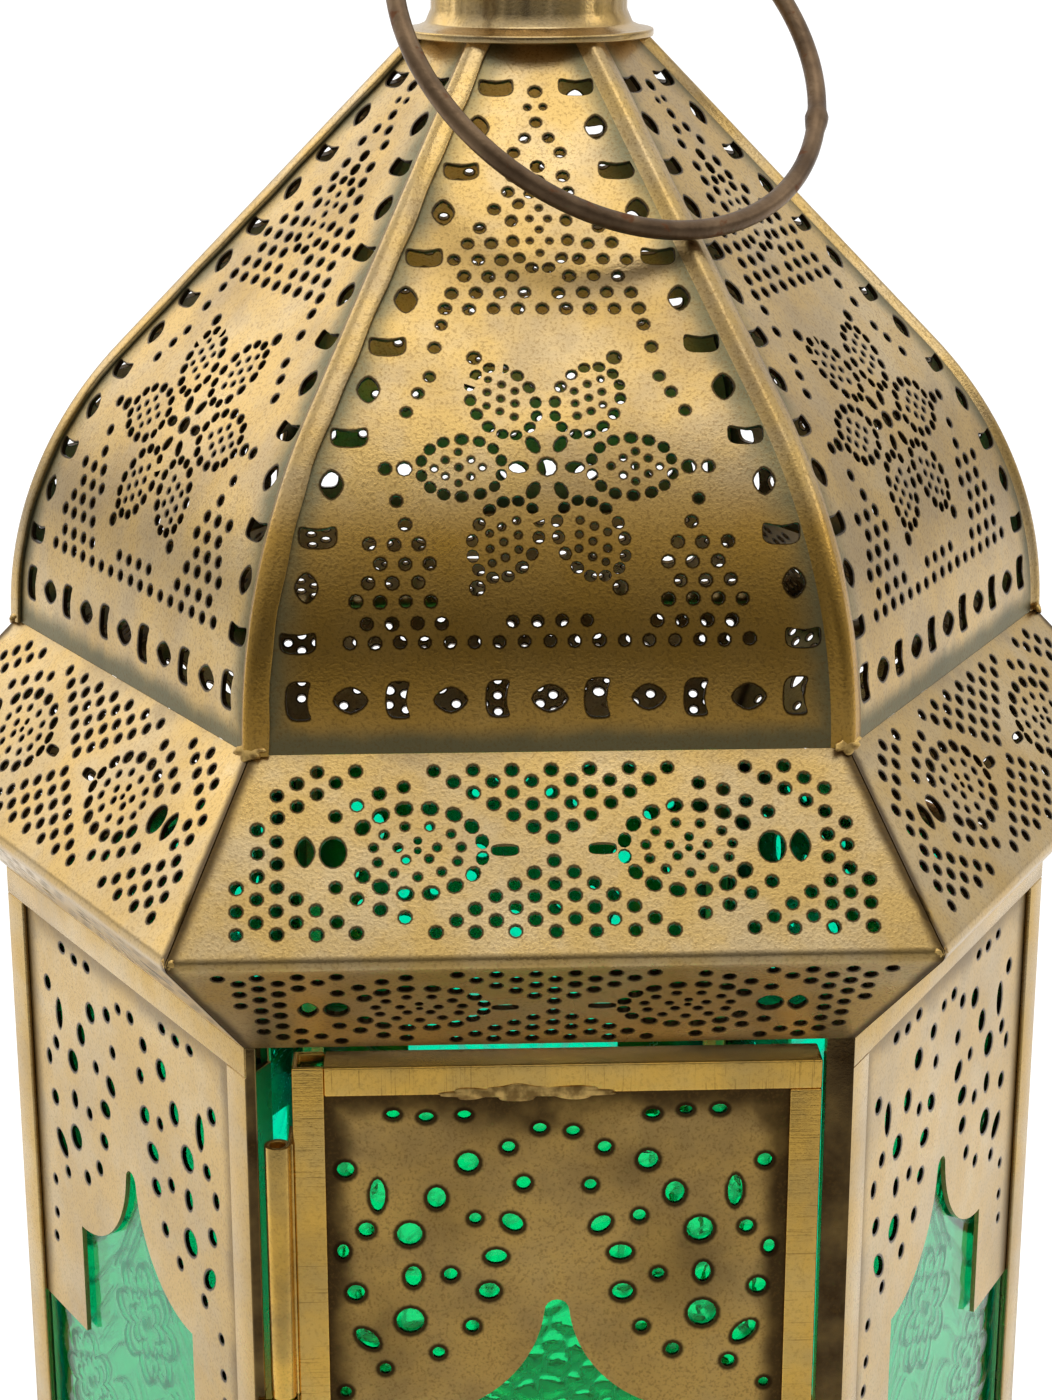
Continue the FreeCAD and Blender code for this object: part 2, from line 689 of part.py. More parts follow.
door_left, door_right = size("door_left"), size("door_right")
door_top, door_base = size("door_top"), size("door_base")
inset_edge = gauge + size("edge_play")
door_middle = (door_left + door_right) / 2
door_plate = arched_plate(
    door_left + inset_edge, door_right - inset_edge, door_top - inset_edge, door_top, door_middle)
door_plate.translate(V(0, -apothem + gauge, 0))
shaped("door_plate", door_plate)
glass_front = FRONT + " + 2 * sheet_gauge"
pane_height = door_tall + " - 2 * sheet_gauge - edge_play"
keep(box("door_glass", "door_left + sheet_gauge + edge_play", glass_front, "door_base + sheet_gauge",
         door_wide + " - 2 * sheet_gauge - 2 * edge_play", "glass_gauge", pane_height), "door_glass")

# Hinge: rolled knuckles on one axis, the pin held in the middle one.
outer_length = "middle_base - knuckle_play - hinge_base"
upper_base = "middle_base + middle_knuckle + knuckle_play"
knuckle_low = cylinder("knuckle_low", "knuckle_radius", outer_length, "axis_across", FRONT, "hinge_base")
knuckle_high = cylinder("knuckle_high", "knuckle_radius", outer_length, "axis_across", FRONT, upper_base)
tab_low = box("tab_low", "door_left - sheet_gauge", FRONT, "hinge_base", "sheet_gauge", "leaf_depth", outer_length)
tab_high = box("tab_high", "door_left - sheet_gauge", FRONT, upper_base, "sheet_gauge", "leaf_depth", outer_length)
leaf = box("leaf", "door_left - sheet_gauge", FRONT + " + leaf_depth", "hinge_base",
           "sheet_gauge", "wall_depth - leaf_depth", "hinge_top - hinge_base")
leaf_blank = fuse("leaf_blank", [knuckle_low, knuckle_high, tab_low, tab_high, leaf])
door_bore = cylinder("door_bore", "pin_radius + pin_play", "hinge_top - hinge_base + 2",
                     "axis_across", FRONT, "hinge_base - 1")
keep(cut("door_hinge_leaf", leaf_blank, door_bore), "door_hinge_leaf")

middle = cylinder("middle", "knuckle_radius", "middle_knuckle", "axis_across", FRONT, "middle_base")
tail = box("tail", "-half_face + edge_play", FRONT + " - sheet_gauge", "middle_base",
           "axis_across + half_face - edge_play", "sheet_gauge", "middle_knuckle")
fixed_bore = cylinder("fixed_bore", "pin_radius", "middle_knuckle + 2", "axis_across", FRONT, "middle_base - 1")
keep(cut("fixed_hinge_leaf", fuse("fixed_blank", [middle, tail]), fixed_bore), "fixed_hinge_leaf")
keep(cylinder("hinge_pin", "pin_radius", "hinge_top - hinge_base - 2 * pin_recess",
              "axis_across", FRONT, "hinge_base + pin_recess"), "hinge_pin")

# Turn button, hanging from its rivet on the jamb beside the door.
QUARTER = FreeCAD.Rotation(V(1, 0, 0), 90)


def from_front(name, radius, thickness, depth):
    """A disc facing the front, its back at a depth behind the front plane."""
    item = cylinder(name, radius, thickness, "button_across", FRONT + " + " + depth, "button_level")
    item.Placement.Rotation = QUARTER
    return item


button_back = "0 - button_play"
button_strip = box("button_strip", "button_across - button_half", FRONT + " - button_play - button_gauge",
                   "button_level - button_length", "2 * button_half", "button_gauge", "button_length")
button_top = from_front("button_top", "button_half", "button_gauge", button_back)
button_hole = from_front("button_hole", "rivet_radius + pin_play", "10", "5")
keep(cut("turn_button", fuse("button_blank", [button_strip, button_top]), button_hole), "turn_button")
rivet_tail = from_front("rivet_tail", "1.2 * rivet_radius", "sheet_gauge / 2", "1.5 * sheet_gauge")
rivet_shank = from_front("rivet_shank", "rivet_radius", "3.5 * sheet_gauge + button_gauge", "1.5 * sheet_gauge")
rivet_spacer = from_front("rivet_spacer", "1.6 * rivet_radius", "button_play / 2", "0")
rivet_head = from_front("rivet_head", "2 * rivet_radius", "sheet_gauge", "0 - button_play * 1.5 - button_gauge")
keep(fuse("turn_rivet", [rivet_tail, rivet_shank, rivet_spacer, rivet_head]), "turn_rivet")

doc.recompute()

os.makedirs("parts", exist_ok=True)
for item in doc.Objects:
    if "Invalid" in item.State or "Error" in item.State:
        raise RuntimeError("object in error: " + item.Name)
for item in nodes:
    if item.Shape.isNull() or not item.Shape.isValid():
        raise RuntimeError("bad shape: " + item.Label)
    if len(item.Shape.Solids) != 1:
        raise RuntimeError("not one solid: " + item.Label)
    item.Shape.exportStep("parts/" + item.Label + ".step")
print("wrote", len(nodes), "sub-parts")
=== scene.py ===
# %% [markdown]
# A hexagonal candle lantern in pierced antique brass with green glass. The CAD model comes in as a fixed
# frame: it has the right sizes and moves on its joints, but its sheets are plain. Each piece that shows
# is rebuilt over its node with what the real piece has: punched holes with rolled edges, folded seams,
# pressed glass and tarnish. The frame itself is never moved.

# %% Load the frame
import math
import random

import bpy
import numpy as np
from mathutils import Matrix, Vector
from mathutils.geometry import delaunay_2d_cdt


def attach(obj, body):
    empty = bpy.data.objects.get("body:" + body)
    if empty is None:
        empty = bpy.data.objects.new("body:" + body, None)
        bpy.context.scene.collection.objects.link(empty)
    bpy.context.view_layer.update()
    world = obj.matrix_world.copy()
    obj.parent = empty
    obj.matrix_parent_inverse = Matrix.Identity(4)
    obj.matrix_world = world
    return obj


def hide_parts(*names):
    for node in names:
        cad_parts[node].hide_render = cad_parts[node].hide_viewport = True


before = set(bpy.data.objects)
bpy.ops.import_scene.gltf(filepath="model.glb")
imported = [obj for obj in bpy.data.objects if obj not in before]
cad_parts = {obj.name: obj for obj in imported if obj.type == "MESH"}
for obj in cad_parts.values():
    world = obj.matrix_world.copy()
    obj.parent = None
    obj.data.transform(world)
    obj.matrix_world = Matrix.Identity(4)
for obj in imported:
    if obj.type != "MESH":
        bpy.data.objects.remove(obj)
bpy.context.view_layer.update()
MM = 0.001
random.seed(7)

# %% [markdown]
# Sizes. They repeat the named sizes of the CAD model, in millimetres, so that each new piece goes where
# its node is. BODY, FOLD and DOME are distances from the middle to a flat side: of the walls, of the
# cornice at its widest, and of the dome's foot. The dome's side is an arc that runs on straight to the
# crown.

# %% Sizes
GAUGE = 0.6
BODY, FOLD, DOME = 57.5, 70.0, 55.0
WALL_BASE, WALL_TOP, FOLD_LEVEL, DOME_BASE, CROWN = 20.8, 124.8, 139.3, 157.3, 227.5
ARC, TURN = 52.0, math.radians(40.385)
ARC_RUN = ARC * TURN
TANGENT_OUT = DOME - ARC + ARC * math.cos(TURN)
TANGENT_LEVEL = ARC * math.sin(TURN)
DOME_RUN = ARC_RUN + (CROWN - DOME_BASE - TANGENT_LEVEL) / math.cos(TURN)
T30, C30 = math.tan(math.radians(30)), math.cos(math.radians(30))
HALF_FACE = BODY * T30
FACES = {number: 60 * (number - 1) for number in range(1, 7)}
WALLS = {number: 60 * number for number in range(1, 6)}
print("dome sheet runs", round(DOME_RUN, 2), "mm up, and a wall is", round(2 * HALF_FACE, 2), "mm wide")

# %% [markdown]
# Finishes are node trees. They could be wired by hand in the shader editor, but long sums are hard to
# follow there. So a small class wraps a socket, and shader maths reads as plain arithmetic. One method
# adds any other node from its type, its settings and its sockets.


# %% Shader arithmetic
class Tone:
    def __init__(self, tree, port=None):
        self.tree = tree
        self.port = port

    def node(self, kind, settings=None, sockets=None, out=0):
        made = self.tree.nodes.new(kind)
        for name, value in (settings or {}).items():
            setattr(made, name, value)
        for key, value in (sockets or {}).items():
            if isinstance(value, Tone):
                self.tree.links.new(value.port, made.inputs[key])
            else:
                made.inputs[key].default_value = value
        return Tone(self.tree, made.outputs[out])

    def sum(self, operation, first, second):
        return self.node("ShaderNodeMath", {"operation": operation}, {0: first, 1: second})

    def __add__(self, other):
        return self.sum("ADD", self, other)

    def __sub__(self, other):
        return self.sum("SUBTRACT", self, other)

    def __rsub__(self, other):
        return self.sum("SUBTRACT", other, self)

    def __mul__(self, other):
        return self.sum("MULTIPLY", self, other)

    __radd__ = __add__
    __rmul__ = __mul__

    def step(self, low, high):
        """0 below low, 1 above high and a soft slope between."""
        ends = {"Value": self, "From Min": low, "From Max": high}
        return self.node("ShaderNodeMapRange", {"interpolation_type": "SMOOTHSTEP"}, ends)

    def mix(self, low, high):
        """Blend two colours by this value."""
        ends = {0: self, 6: low, 7: high}
        return self.node("ShaderNodeMix", {"data_type": "RGBA"}, ends, out=2)

    def noise(self, scale, detail=2.0, rough=0.55):
        """Noise at this place, with its scale in waves per metre."""
        sockets = {"Vector": self, "Scale": scale, "Detail": detail, "Roughness": rough}
        return self.node("ShaderNodeTexNoise", {}, sockets)


print("a finish can use", [name for name in vars(Tone) if not name.startswith("_")])


# %% [markdown]
# Every finish starts and ends alike: an empty node tree that knows the place on the object, and one
# Principled surface at the end. Object coordinates are used, so that a pattern stays on its piece when
# the piece moves.

# %% Open and close a finish
def new_finish(name):
    material = bpy.data.materials.new(name)
    material.use_nodes = True
    material.node_tree.nodes.clear()
    start = Tone(material.node_tree)
    place = start.node("ShaderNodeTexCoord", out="Object")
    return material, start, place


def close_finish(start, sockets):
    surface = start.node("ShaderNodeBsdfPrincipled", {}, sockets, out="BSDF")
    end = start.tree.nodes.new("ShaderNodeOutputMaterial")
    start.tree.links.new(surface.port, end.inputs["Surface"])


def painted(start, name):
    """A number that the mesh carries at each of its points."""
    return start.node("ShaderNodeAttribute", {"attribute_name": name}, out="Fac")


def bumped(start, strength, distance, height):
    return start.node("ShaderNodeBump", {}, {"Strength": strength, "Distance": distance, "Height": height})


print("finish helpers ready")

# %% [markdown]
# Antique brass is a satin golden sheet with a fine sandy grain. Brown tarnish lies in soft clouds, a
# grey-green bloom gathers near folds and hems, and punched edges go dark. A photograph of brass could be
# wrapped on, but it would repeat and carry its own light, so the tarnish is built from noise of three
# sizes. Three numbers on the mesh say where the rest goes: rim is 1 on a punched edge, hem along a fold
# or border, and the third where a piece is darker: burns on the door, painted shade on the posts beside
# the door and a band on the dome's front. Along the frames of the wall and door plates the hem's tone is
# painted shade.

# %% Brass finish
GOLD, PALE = (0.54, 0.36, 0.125, 1), (0.66, 0.51, 0.285, 1)
RICH, WORN = (0.90, 0.55, 0.115, 1), (0.90, 0.62, 0.20, 1)
AMBER, HONEY = (0.62, 0.39, 0.11, 1), (0.68, 0.46, 0.17, 1)
BROWN, BLOOM = (0.165, 0.092, 0.026, 1), (0.115, 0.128, 0.078, 1)
GRIME_AND_SHADE, BAND_TONE = (0.055, 0.031, 0.011, 1), (0.44, 0.25, 0.045, 1)
DARK = (0.026, 0.014, 0.005, 1)
CLOUDS, PATCHES, SAND, SCRATCHES = 38.0, 120.0, 3000.0, 5000.0
GRAIN_DEPTH = 0.00004


def brass(name, brown=0.5, bloom=0.6, grain=0.8, rough=0.28, gold=GOLD, pale=PALE, hem_stain_and_shade=BLOOM,
          soot=BAND_TONE, marks=None, metal=1.0):
    material, start, place = new_finish(name)
    rim, hem, stain_and_shade_amount = (painted(start, key) for key in ("rim", "hem", "soot"))
    cloud = place.noise(CLOUDS, 4.0, 0.6)
    patch = place.noise(PATCHES, 4.0, 0.62)
    sand = place.noise(SAND, 2.0, 0.6)
    base = patch.step(0.35, 0.75).mix(gold, pale)
    tarnish = (cloud * 0.5 + patch * 0.5).step(0.40, 0.64) * brown
    base = tarnish.mix(base, BROWN)
    # darker where the mesh says so: burns on the door, painted shade on the posts beside it, a band on the
    # dome's front
    base = (stain_and_shade_amount * 0.8 + (patch - 0.5) * stain_and_shade_amount).step(0.0, 1.0).mix(base, soot)
    # along hems: grey-green bloom on the dome, grime at the cornice's corners, painted shade along the frames
    # of the wall and door plates
    bloom_and_shade_mask = (hem * 0.85 + patch * 0.6).step(0.45, 1.0) * bloom
    base = bloom_and_shade_mask.mix(base, hem_stain_and_shade)
    base = (sand.step(0.48, 0.70) * 0.45 * grain).mix(base, BROWN)
    height = sand
    if marks:
        drawn = place.node("ShaderNodeMapping", {}, {"Vector": place, "Scale": marks})
        scratch = drawn.noise(SCRATCHES, 2.0)
        base = (scratch.step(0.60, 0.70) * 0.4).mix(base, BROWN)
        height = height + scratch
    base = (rim.step(0.05, 0.65) * 0.92).mix(base, DARK)
    roughness = rough + 0.14 * cloud - 0.06 + 0.22 * bloom_and_shade_mask
    bump = bumped(start, grain, GRAIN_DEPTH, height)
    close_finish(start, {"Base Color": base, "Metallic": metal, "Roughness": roughness, "Normal": bump})
    return material


print("brass has noise at", CLOUDS, PATCHES, SAND, "waves per metre")

# %% [markdown]
# The lantern's brass isn't the same all over. The dome keeps a grey-green bloom, the cornice holds grime
# in its corners, the wall and door plates have painted shade along their frames, and the door's frame is
# rubbed bright by hands and shows the file. One function with a few amounts gives them all, which keeps
# them related, as pieces of one object are.

# %% Brass on each kind of piece
FILED_LEVEL, FILED_UPRIGHT = (0.03, 0.03, 1), (1, 1, 0.03)
STRIP_WEAR = {"brown": 0.35, "bloom": 0.3, "grain": 0.6, "rough": 0.26}
FRAME_WEAR = {"brown": 0.35, "bloom": 0.3, "grain": 0.5, "rough": 0.2, "gold": RICH, "pale": WORN}
SHEET = brass("antique_brass_sheet", bloom=0.8, grain=1.0)
CORNICE_SHEET = brass("antique_brass_cornice", brown=0.35, bloom=0.9, hem_stain_and_shade=GRIME_AND_SHADE)
WALL_SHEET = brass("antique_brass_wall", brown=0.35, bloom=0.55, hem_stain_and_shade=GRIME_AND_SHADE)
DOOR_SHEET = brass("antique_brass_door", brown=0.5, bloom=0.95, grain=1.0, rough=0.30,
                   gold=AMBER, pale=HONEY, hem_stain_and_shade=GRIME_AND_SHADE, soot=GRIME_AND_SHADE)
STRIP = brass("antique_brass_strip", **STRIP_WEAR)
# the posts beside the door: the strip's brass with a dark tone for painted shade
SHADED_JAMB = brass("brass_jamb_painted_shade", soot=GRIME_AND_SHADE, **STRIP_WEAR)
TUBE = brass("bright_brass_tube", brown=0.55, bloom=0.3, grain=0.5, rough=0.2, gold=RICH, pale=WORN)
STILE = brass("worn_brass_stile", marks=FILED_LEVEL, **FRAME_WEAR)
RAIL = brass("worn_brass_rail", marks=FILED_UPRIGHT, **FRAME_WEAR)
SPUN = brass("antique_brass_spun", brown=0.35, bloom=0.5, grain=0.5, rough=0.22)
WAXED = brass("waxed_brass", brown=0.6, bloom=0.2, rough=0.55, metal=0.2)
print("brass finishes", [m.name for m in bpy.data.materials if "brass" in m.name])

# %% [markdown]
# The handle is bronzed iron wire: the bronzing is worn to dull brown, with freckles of rust. Solder is
# softer and yellower than the sheet, with a mottled skin. Both are small, so two tones and a little noise
# are enough.

# %% Wire and solder finishes
WIRE_DARK, WIRE_LIGHT, RUST = (0.095, 0.056, 0.028, 1), (0.22, 0.140, 0.075, 1), (0.17, 0.060, 0.018, 1)
SOLDER_DARK, SOLDER_LIGHT = (0.26, 0.155, 0.045, 1), (0.78, 0.52, 0.17, 1)
PITS = 0.00012

WIRE, wire_start, wire_place = new_finish("bronzed_wire")
freckles = wire_place.noise(420.0, 3.0, 0.6).step(0.60, 0.72)
wire_tone = wire_place.noise(160.0, 4.0, 0.6).step(0.3, 0.7).mix(WIRE_DARK, WIRE_LIGHT)
wire_tone = (freckles * 0.8).mix(wire_tone, RUST)
wire_bump = bumped(wire_start, 0.6, PITS, wire_place.noise(1300.0, 3.0))
close_finish(wire_start, {
    "Base Color": wire_tone, "Metallic": 0.75, "Roughness": freckles * 0.25 + 0.40, "Normal": wire_bump})

SOLDER, solder_start, solder_place = new_finish("tarnished_solder")
solder_tone = solder_place.noise(700.0, 3.0).step(0.35, 0.7).mix(SOLDER_DARK, SOLDER_LIGHT)
close_finish(solder_start, {"Base Color": solder_tone, "Metallic": 0.9, "Roughness": 0.42})
print("made", WIRE.name, "and", SOLDER.name)

# %% [markdown]
# The panes are pressed green glass, coloured all through, and light from behind makes them glow. Coloured
# transmission gives that. The pressed lines scatter light, so they are drawn duller and rougher, by a
# number called line that the pane's mesh carries. The door's pane gets a brighter copy of the same glass:
# painted light, standing in for the light that reaches its arch from behind.

# %% Glass finish
RIPPLE = 0.0001


def glass(name, clear, shade):
    material, start, place = new_finish(name)
    line = painted(start, "line").step(0.25, 0.95)
    close_finish(start, {
        "Base Color": line.mix(clear, shade), "Roughness": line * 0.3 + 0.05, "IOR": 1.4,
        "Specular IOR Level": 0.3, "Transmission Weight": 1.0,
        "Normal": bumped(start, 0.1, RIPPLE, place.noise(600.0, 2.0))})
    return material


GLASS = glass("green_glass", (0.0, 0.64, 0.345, 1), (0.05, 0.40, 0.27, 1))
# a brighter copy of the green glass for the door's pane, which is painted light
BRIGHTENED_DOOR_GLASS = glass("green_glass_door_brightened", (0.0, 1.0, 0.48, 1), (0.0, 0.66, 0.31, 1))
print("made", GLASS.name, "and", BRIGHTENED_DOOR_GLASS.name)

# %% [markdown]
# Small helpers. An operator acts on all that is selected, so everything else is deselected first. A
# finished piece is seated: it gets its finish, rides on a body of the frame and takes the place of its
# nodes.


# %% Selecting and seating pieces
def only(item):
    if bpy.context.mode != "OBJECT":
        bpy.ops.object.mode_set(mode="OBJECT")
    bpy.ops.object.select_all(action="DESELECT")
    item.hide_viewport = False
    item.select_set(True)
    bpy.context.view_layer.objects.active = item


def shown(name, mesh):
    item = bpy.data.objects.new(name, mesh)
    bpy.context.scene.collection.objects.link(item)
    return item


def seat(item, body, finish, slot, *nodes):
    item.data.materials.clear()
    item.data.materials.append(finish)
    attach(item, body)
    if nodes:
        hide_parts(*nodes)
    return item


print("ready to dress", len(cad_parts), "nodes")

# %% [markdown]
# The lantern has six sides, so a panel is made once, at the front, and turned for the others. Each copy
# has its own mesh with its place in it. Numbers such as hem or line are stored on a mesh point by point.


# %% Points, marks and turned copies
def places(mesh):
    """The places of a mesh's points, in metres, as rows of x, y and z."""
    found = np.empty(len(mesh.vertices) * 3)
    mesh.vertices.foreach_get("co", found)
    return found.reshape(-1, 3)


def mark(mesh, name, values):
    layer = mesh.attributes.new(name, "FLOAT", "POINT")
    layer.data.foreach_set("value", np.asarray(values, np.float32))


def set_round(item, turns, name, node, finish, slot="antique_brass"):
    """A turned copy for each numbered side, in place of the node with that number."""
    made = []
    for number, degrees in turns.items():
        mesh = item.data.copy()
        mesh.transform(Matrix.Rotation(math.radians(degrees), 4, "Z"))
        piece = shown("%s_%d" % (name, number), mesh)
        made.append(seat(piece, "housing", finish, slot, "%s_%d" % (node, number)))
    bpy.data.objects.remove(item)
    return made


print("panels turn by", list(FACES.values()), "and walls by", list(WALLS.values()))

# %% [markdown]
# Pierced sheet. The maker punches the sheet flat and bends it afterwards, and so does this script.
# Booleans for hundreds of holes would be slow and leave ragged faces, so each hole is drawn as a closed
# loop in the flat pattern. There are three punches: a round or oval one, a soft diamond and a bean. Hand
# work is never exact, so each loop is loosened a little.

# %% Hole outlines
LENS_POINTS, LENS_POWER = 16, 1.25
BEAN_POINTS, BEAN_POWER = 22, 0.6


def softly(value, power):
    return math.copysign(abs(value) ** power, value)


def dot(across, up, wide, tall=None, tilt=0.0, count=10):
    tall = wide if tall is None else tall
    c, s = math.cos(tilt), math.sin(tilt)
    loop = []
    for i in range(count):
        t = 2 * math.pi * (i + 0.5) / count
        x, y = math.cos(t) * wide / 2, math.sin(t) * tall / 2
        loop.append((across + x * c - y * s, up + x * s + y * c))
    return loop


def lens(across, up, wide, tall):
    loop = []
    for i in range(LENS_POINTS):
        t = 2 * math.pi * i / LENS_POINTS
        x, y = softly(math.cos(t), LENS_POWER) * wide / 2, softly(math.sin(t), LENS_POWER) * tall / 2
        loop.append((across + x, up + y))
    return loop


def bean(across, up, wide, tall, dent, turn=0.0):
    """A rounded block with one side pressed in."""
    c, s = math.cos(turn), math.sin(turn)
    loop = []
    for i in range(BEAN_POINTS):
        t = 2 * math.pi * (i + 0.5) / BEAN_POINTS
        x, y = softly(math.cos(t), BEAN_POWER) * wide / 2, softly(math.sin(t), BEAN_POWER) * tall / 2
        if y > 0:
            y -= dent * (1 - min(1, (2 * x / wide) ** 2)) * (2 * y / tall)
        loop.append((across + x * c - y * s, up + x * s + y * c))
    return loop


def loosen(loop, shift=0.06, swell=0.05):
    """A small shift and change of size."""
    dx, dy = random.uniform(-shift, shift), random.uniform(-shift, shift)
    k = 1 + random.uniform(-swell, swell)
    cx = sum(p[0] for p in loop) / len(loop)
    cy = sum(p[1] for p in loop) / len(loop)
    return [(cx + dx + (x - cx) * k, cy + dy + (y - cy) * k) for x, y in loop]


print("punches:", len(dot(0, 0, 1)), len(lens(0, 0, 1, 1)), len(bean(0, 0, 1, 1, 0)), "points")

# %% [markdown]
# Round each hole lies a narrow ring, where the punch rolled the edge inwards. Its width is limited by the
# room to the next hole, because rings that cross would spoil the sheet. Between the rings lies a loose
# grid of points, which lets the sheet bend smoothly.

# %% Rings and ground of a flat sheet
ROLL, ROOM_SHARE = 0.32, 0.42
CLEAR_OF_BORDER, CLEAR_OF_RING = 0.45, 0.3


def inside(points, polygon):
    """Which points lie in a polygon, by counting crossings."""
    x, y = points[:, 0][:, None], points[:, 1][:, None]
    px, py = polygon[:, 0][None], polygon[:, 1][None]
    qx, qy = np.roll(polygon[:, 0], -1)[None], np.roll(polygon[:, 1], -1)[None]
    crosses = (py > y) != (qy > y)
    with np.errstate(divide="ignore", invalid="ignore"):
        hit = x < (qx - px) * (y - py) / (qy - py) + px
    return ((crosses & hit).sum(1) % 2) == 1


def ring_round(loop, width):
    centre = np.mean(loop, axis=0)
    away = np.asarray(loop) - centre
    length = np.linalg.norm(away, axis=1, keepdims=True)
    return centre + away * (1 + width / length)


def room_round(holes, outline):
    """How far each hole is from the next one or from the border."""
    loops = [np.asarray(loop) for loop in holes] + [outline]
    points = np.concatenate(loops)
    owner = np.concatenate([np.full(len(loop), i) for i, loop in enumerate(loops)])
    room = []
    for i, loop in enumerate(loops[:-1]):
        others = points[owner != i]
        room.append(np.min(np.linalg.norm(loop[:, None] - others[None], axis=2)))
    return room


def ground(outline, rings, spacing):
    """A grid of points inside the outline, clear of the border and of the rings."""
    low, high = outline.min(0), outline.max(0)
    columns = np.arange(low[0] + spacing / 2, high[0], spacing)
    rows = np.arange(low[1] + spacing / 2, high[1], spacing)
    grid = np.array([(x, y) for y in rows for x in columns])
    grid = grid[inside(grid, outline)]
    to_border = np.min(np.linalg.norm(grid[:, None] - outline[None], axis=2), axis=1)
    grid = grid[to_border > spacing * CLEAR_OF_BORDER]
    for ring in rings:
        centre = ring.mean(0)
        reach = np.max(np.linalg.norm(ring - centre, axis=1)) + spacing * CLEAR_OF_RING
        grid = grid[np.linalg.norm(grid - centre, axis=1) > reach]
    return grid


print("a punched edge rolls in over", ROLL, "mm where there is room")

# %% [markdown]
# A constrained triangulation fills the sheet. It keeps every loop as edges, but it also fills the holes,
# so the triangles that lie inside one are taken out again. Each hole's ring of four-sided faces comes
# last.

# %% Triangulate a flat sheet
MERGE = 1e-7


def fill(loops, loose):
    """Triangles between the border, which is the first loop, and the rings. Gives the points, the faces, the
    new number of each point that was given, and where each loop starts."""
    groups = loops + [loose]
    starts = np.cumsum([0] + [len(group) for group in groups])
    owner = np.concatenate([np.full(len(group), i) for i, group in enumerate(groups)])
    owner[owner == len(loops)] = -1
    edges = []
    for start, loop in zip(starts, loops):
        count = len(loop)
        edges += [(int(start + k), int(start + (k + 1) % count)) for k in range(count)]
    made = delaunay_2d_cdt([Vector(p) for p in np.concatenate(groups)], edges, [], 0, MERGE)
    points = np.array([(v.x, v.y) for v in made[0]])
    source = np.array([ids[0] if ids else -1 for ids in made[3]])
    triangles = np.array(made[2])
    marks = np.where(source >= 0, owner[np.maximum(source, 0)], -1)[triangles]
    middles = points[triangles].mean(1)
    one_loop = (marks[:, 0] == marks[:, 1]) & (marks[:, 1] == marks[:, 2]) & (marks[:, 0] >= 0)
    keep = np.ones(len(triangles), bool)
    for k in np.nonzero(one_loop)[0]:
        loop = marks[k, 0]
        within = inside(middles[k:k + 1], loops[loop])[0]
        keep[k] = within if loop == 0 else not within
    faces = [tuple(int(v) for v in triangle) for triangle in triangles[keep]]
    number = {int(given): n for n, given in enumerate(source) if given >= 0}
    return points, faces, number, starts


def flat_sheet(outline, holes, spacing, roll=ROLL):
    """Points, front faces, hole edges, border and rim values of a flat pierced sheet."""
    outline = np.asarray(outline, float)
    room = room_round(holes, outline)
    rings = [ring_round(loop, min(roll, ROOM_SHARE * gap)) for loop, gap in zip(holes, room)]
    points, faces, number, starts = fill([outline] + rings, ground(outline, rings, spacing))
    edges = []
    total = len(points)
    for start, loop in zip(starts[1:], holes):
        count = len(loop)
        ring = [number[int(start + k)] for k in range(count)]
        edge = list(range(total, total + count))
        total += count
        for k in range(count):
            n = (k + 1) % count
            faces.append((ring[k], ring[n], edge[n], edge[k]))
        edges.append(edge)
    border = [number[k] for k in range(len(outline))]
    rim = np.concatenate([np.zeros(len(points)), np.ones(total - len(points))])
    points = np.concatenate([points] + [np.asarray(loop) for loop in holes])
    return points, faces, edges, border, rim


print("sheets are filled with points merged within", MERGE, "mm")

# %% [markdown]
# Bending. A bend is a function that gives a place and an outward normal for each point of the flat
# pattern. The sheet's back lies one gauge behind its front, and walls close the holes and the border.
# Solidify could do this too, but here the bend's own normals also shade the sheet, so it looks smooth
# however it is cut up.

# %% Bend a flat sheet and give it thickness
SUNK = 0.10
BACK_RIM = 0.25
FRONT, BACK, WALL = range(3)


def corner_normals(mesh, kinds, normal):
    """The bend's normals on the front and back, and flat ones on the cut walls."""
    found = []
    for polygon, kind in zip(mesh.polygons, kinds):
        if kind == WALL:
            found += [tuple(polygon.normal)] * polygon.loop_total
        else:
            sign = 1 if kind == FRONT else -1
            found += [tuple(sign * normal[v % len(normal)]) for v in polygon.vertices]
    return found


def bent_sheet(name, flat, bend, hem, open_border=None):
    """open_border marks border points whose wall is left open, because another strip joins there."""
    points, front, edges, border, rim = flat
    place, normal = bend(points)
    count = len(points)
    sunk = np.where(rim > 0, -SUNK, 0.0)[:, None]
    verts = np.concatenate([place + normal * sunk, place - normal * GAUGE]) * MM
    walls = []
    for edge in edges:
        for a, b in zip(edge, edge[1:] + edge[:1]):
            walls.append((a, b, count + b, count + a))
    for k in range(len(border)):
        n = (k + 1) % len(border)
        if open_border is None or not (open_border[k] and open_border[n]):
            walls.append((border[n], border[k], count + border[k], count + border[n]))
    back = [tuple(count + v for v in reversed(face)) for face in front]
    kinds = [FRONT] * len(front) + [BACK] * len(back) + [WALL] * len(walls)
    mesh = bpy.data.meshes.new(name)
    mesh.from_pydata(verts.tolist(), [], front + back + walls)
    mark(mesh, "rim", np.concatenate([rim, np.where(rim > 0, 1.0, BACK_RIM)]))
    mark(mesh, "hem", np.tile(hem(points), 2))
    mesh.polygons.foreach_set("use_smooth", [True] * len(kinds))
    mesh.update()
    mesh.normals_split_custom_set(corner_normals(mesh, kinds, normal))
    return shown(name, mesh)


print("sheet is", GAUGE, "mm thick")

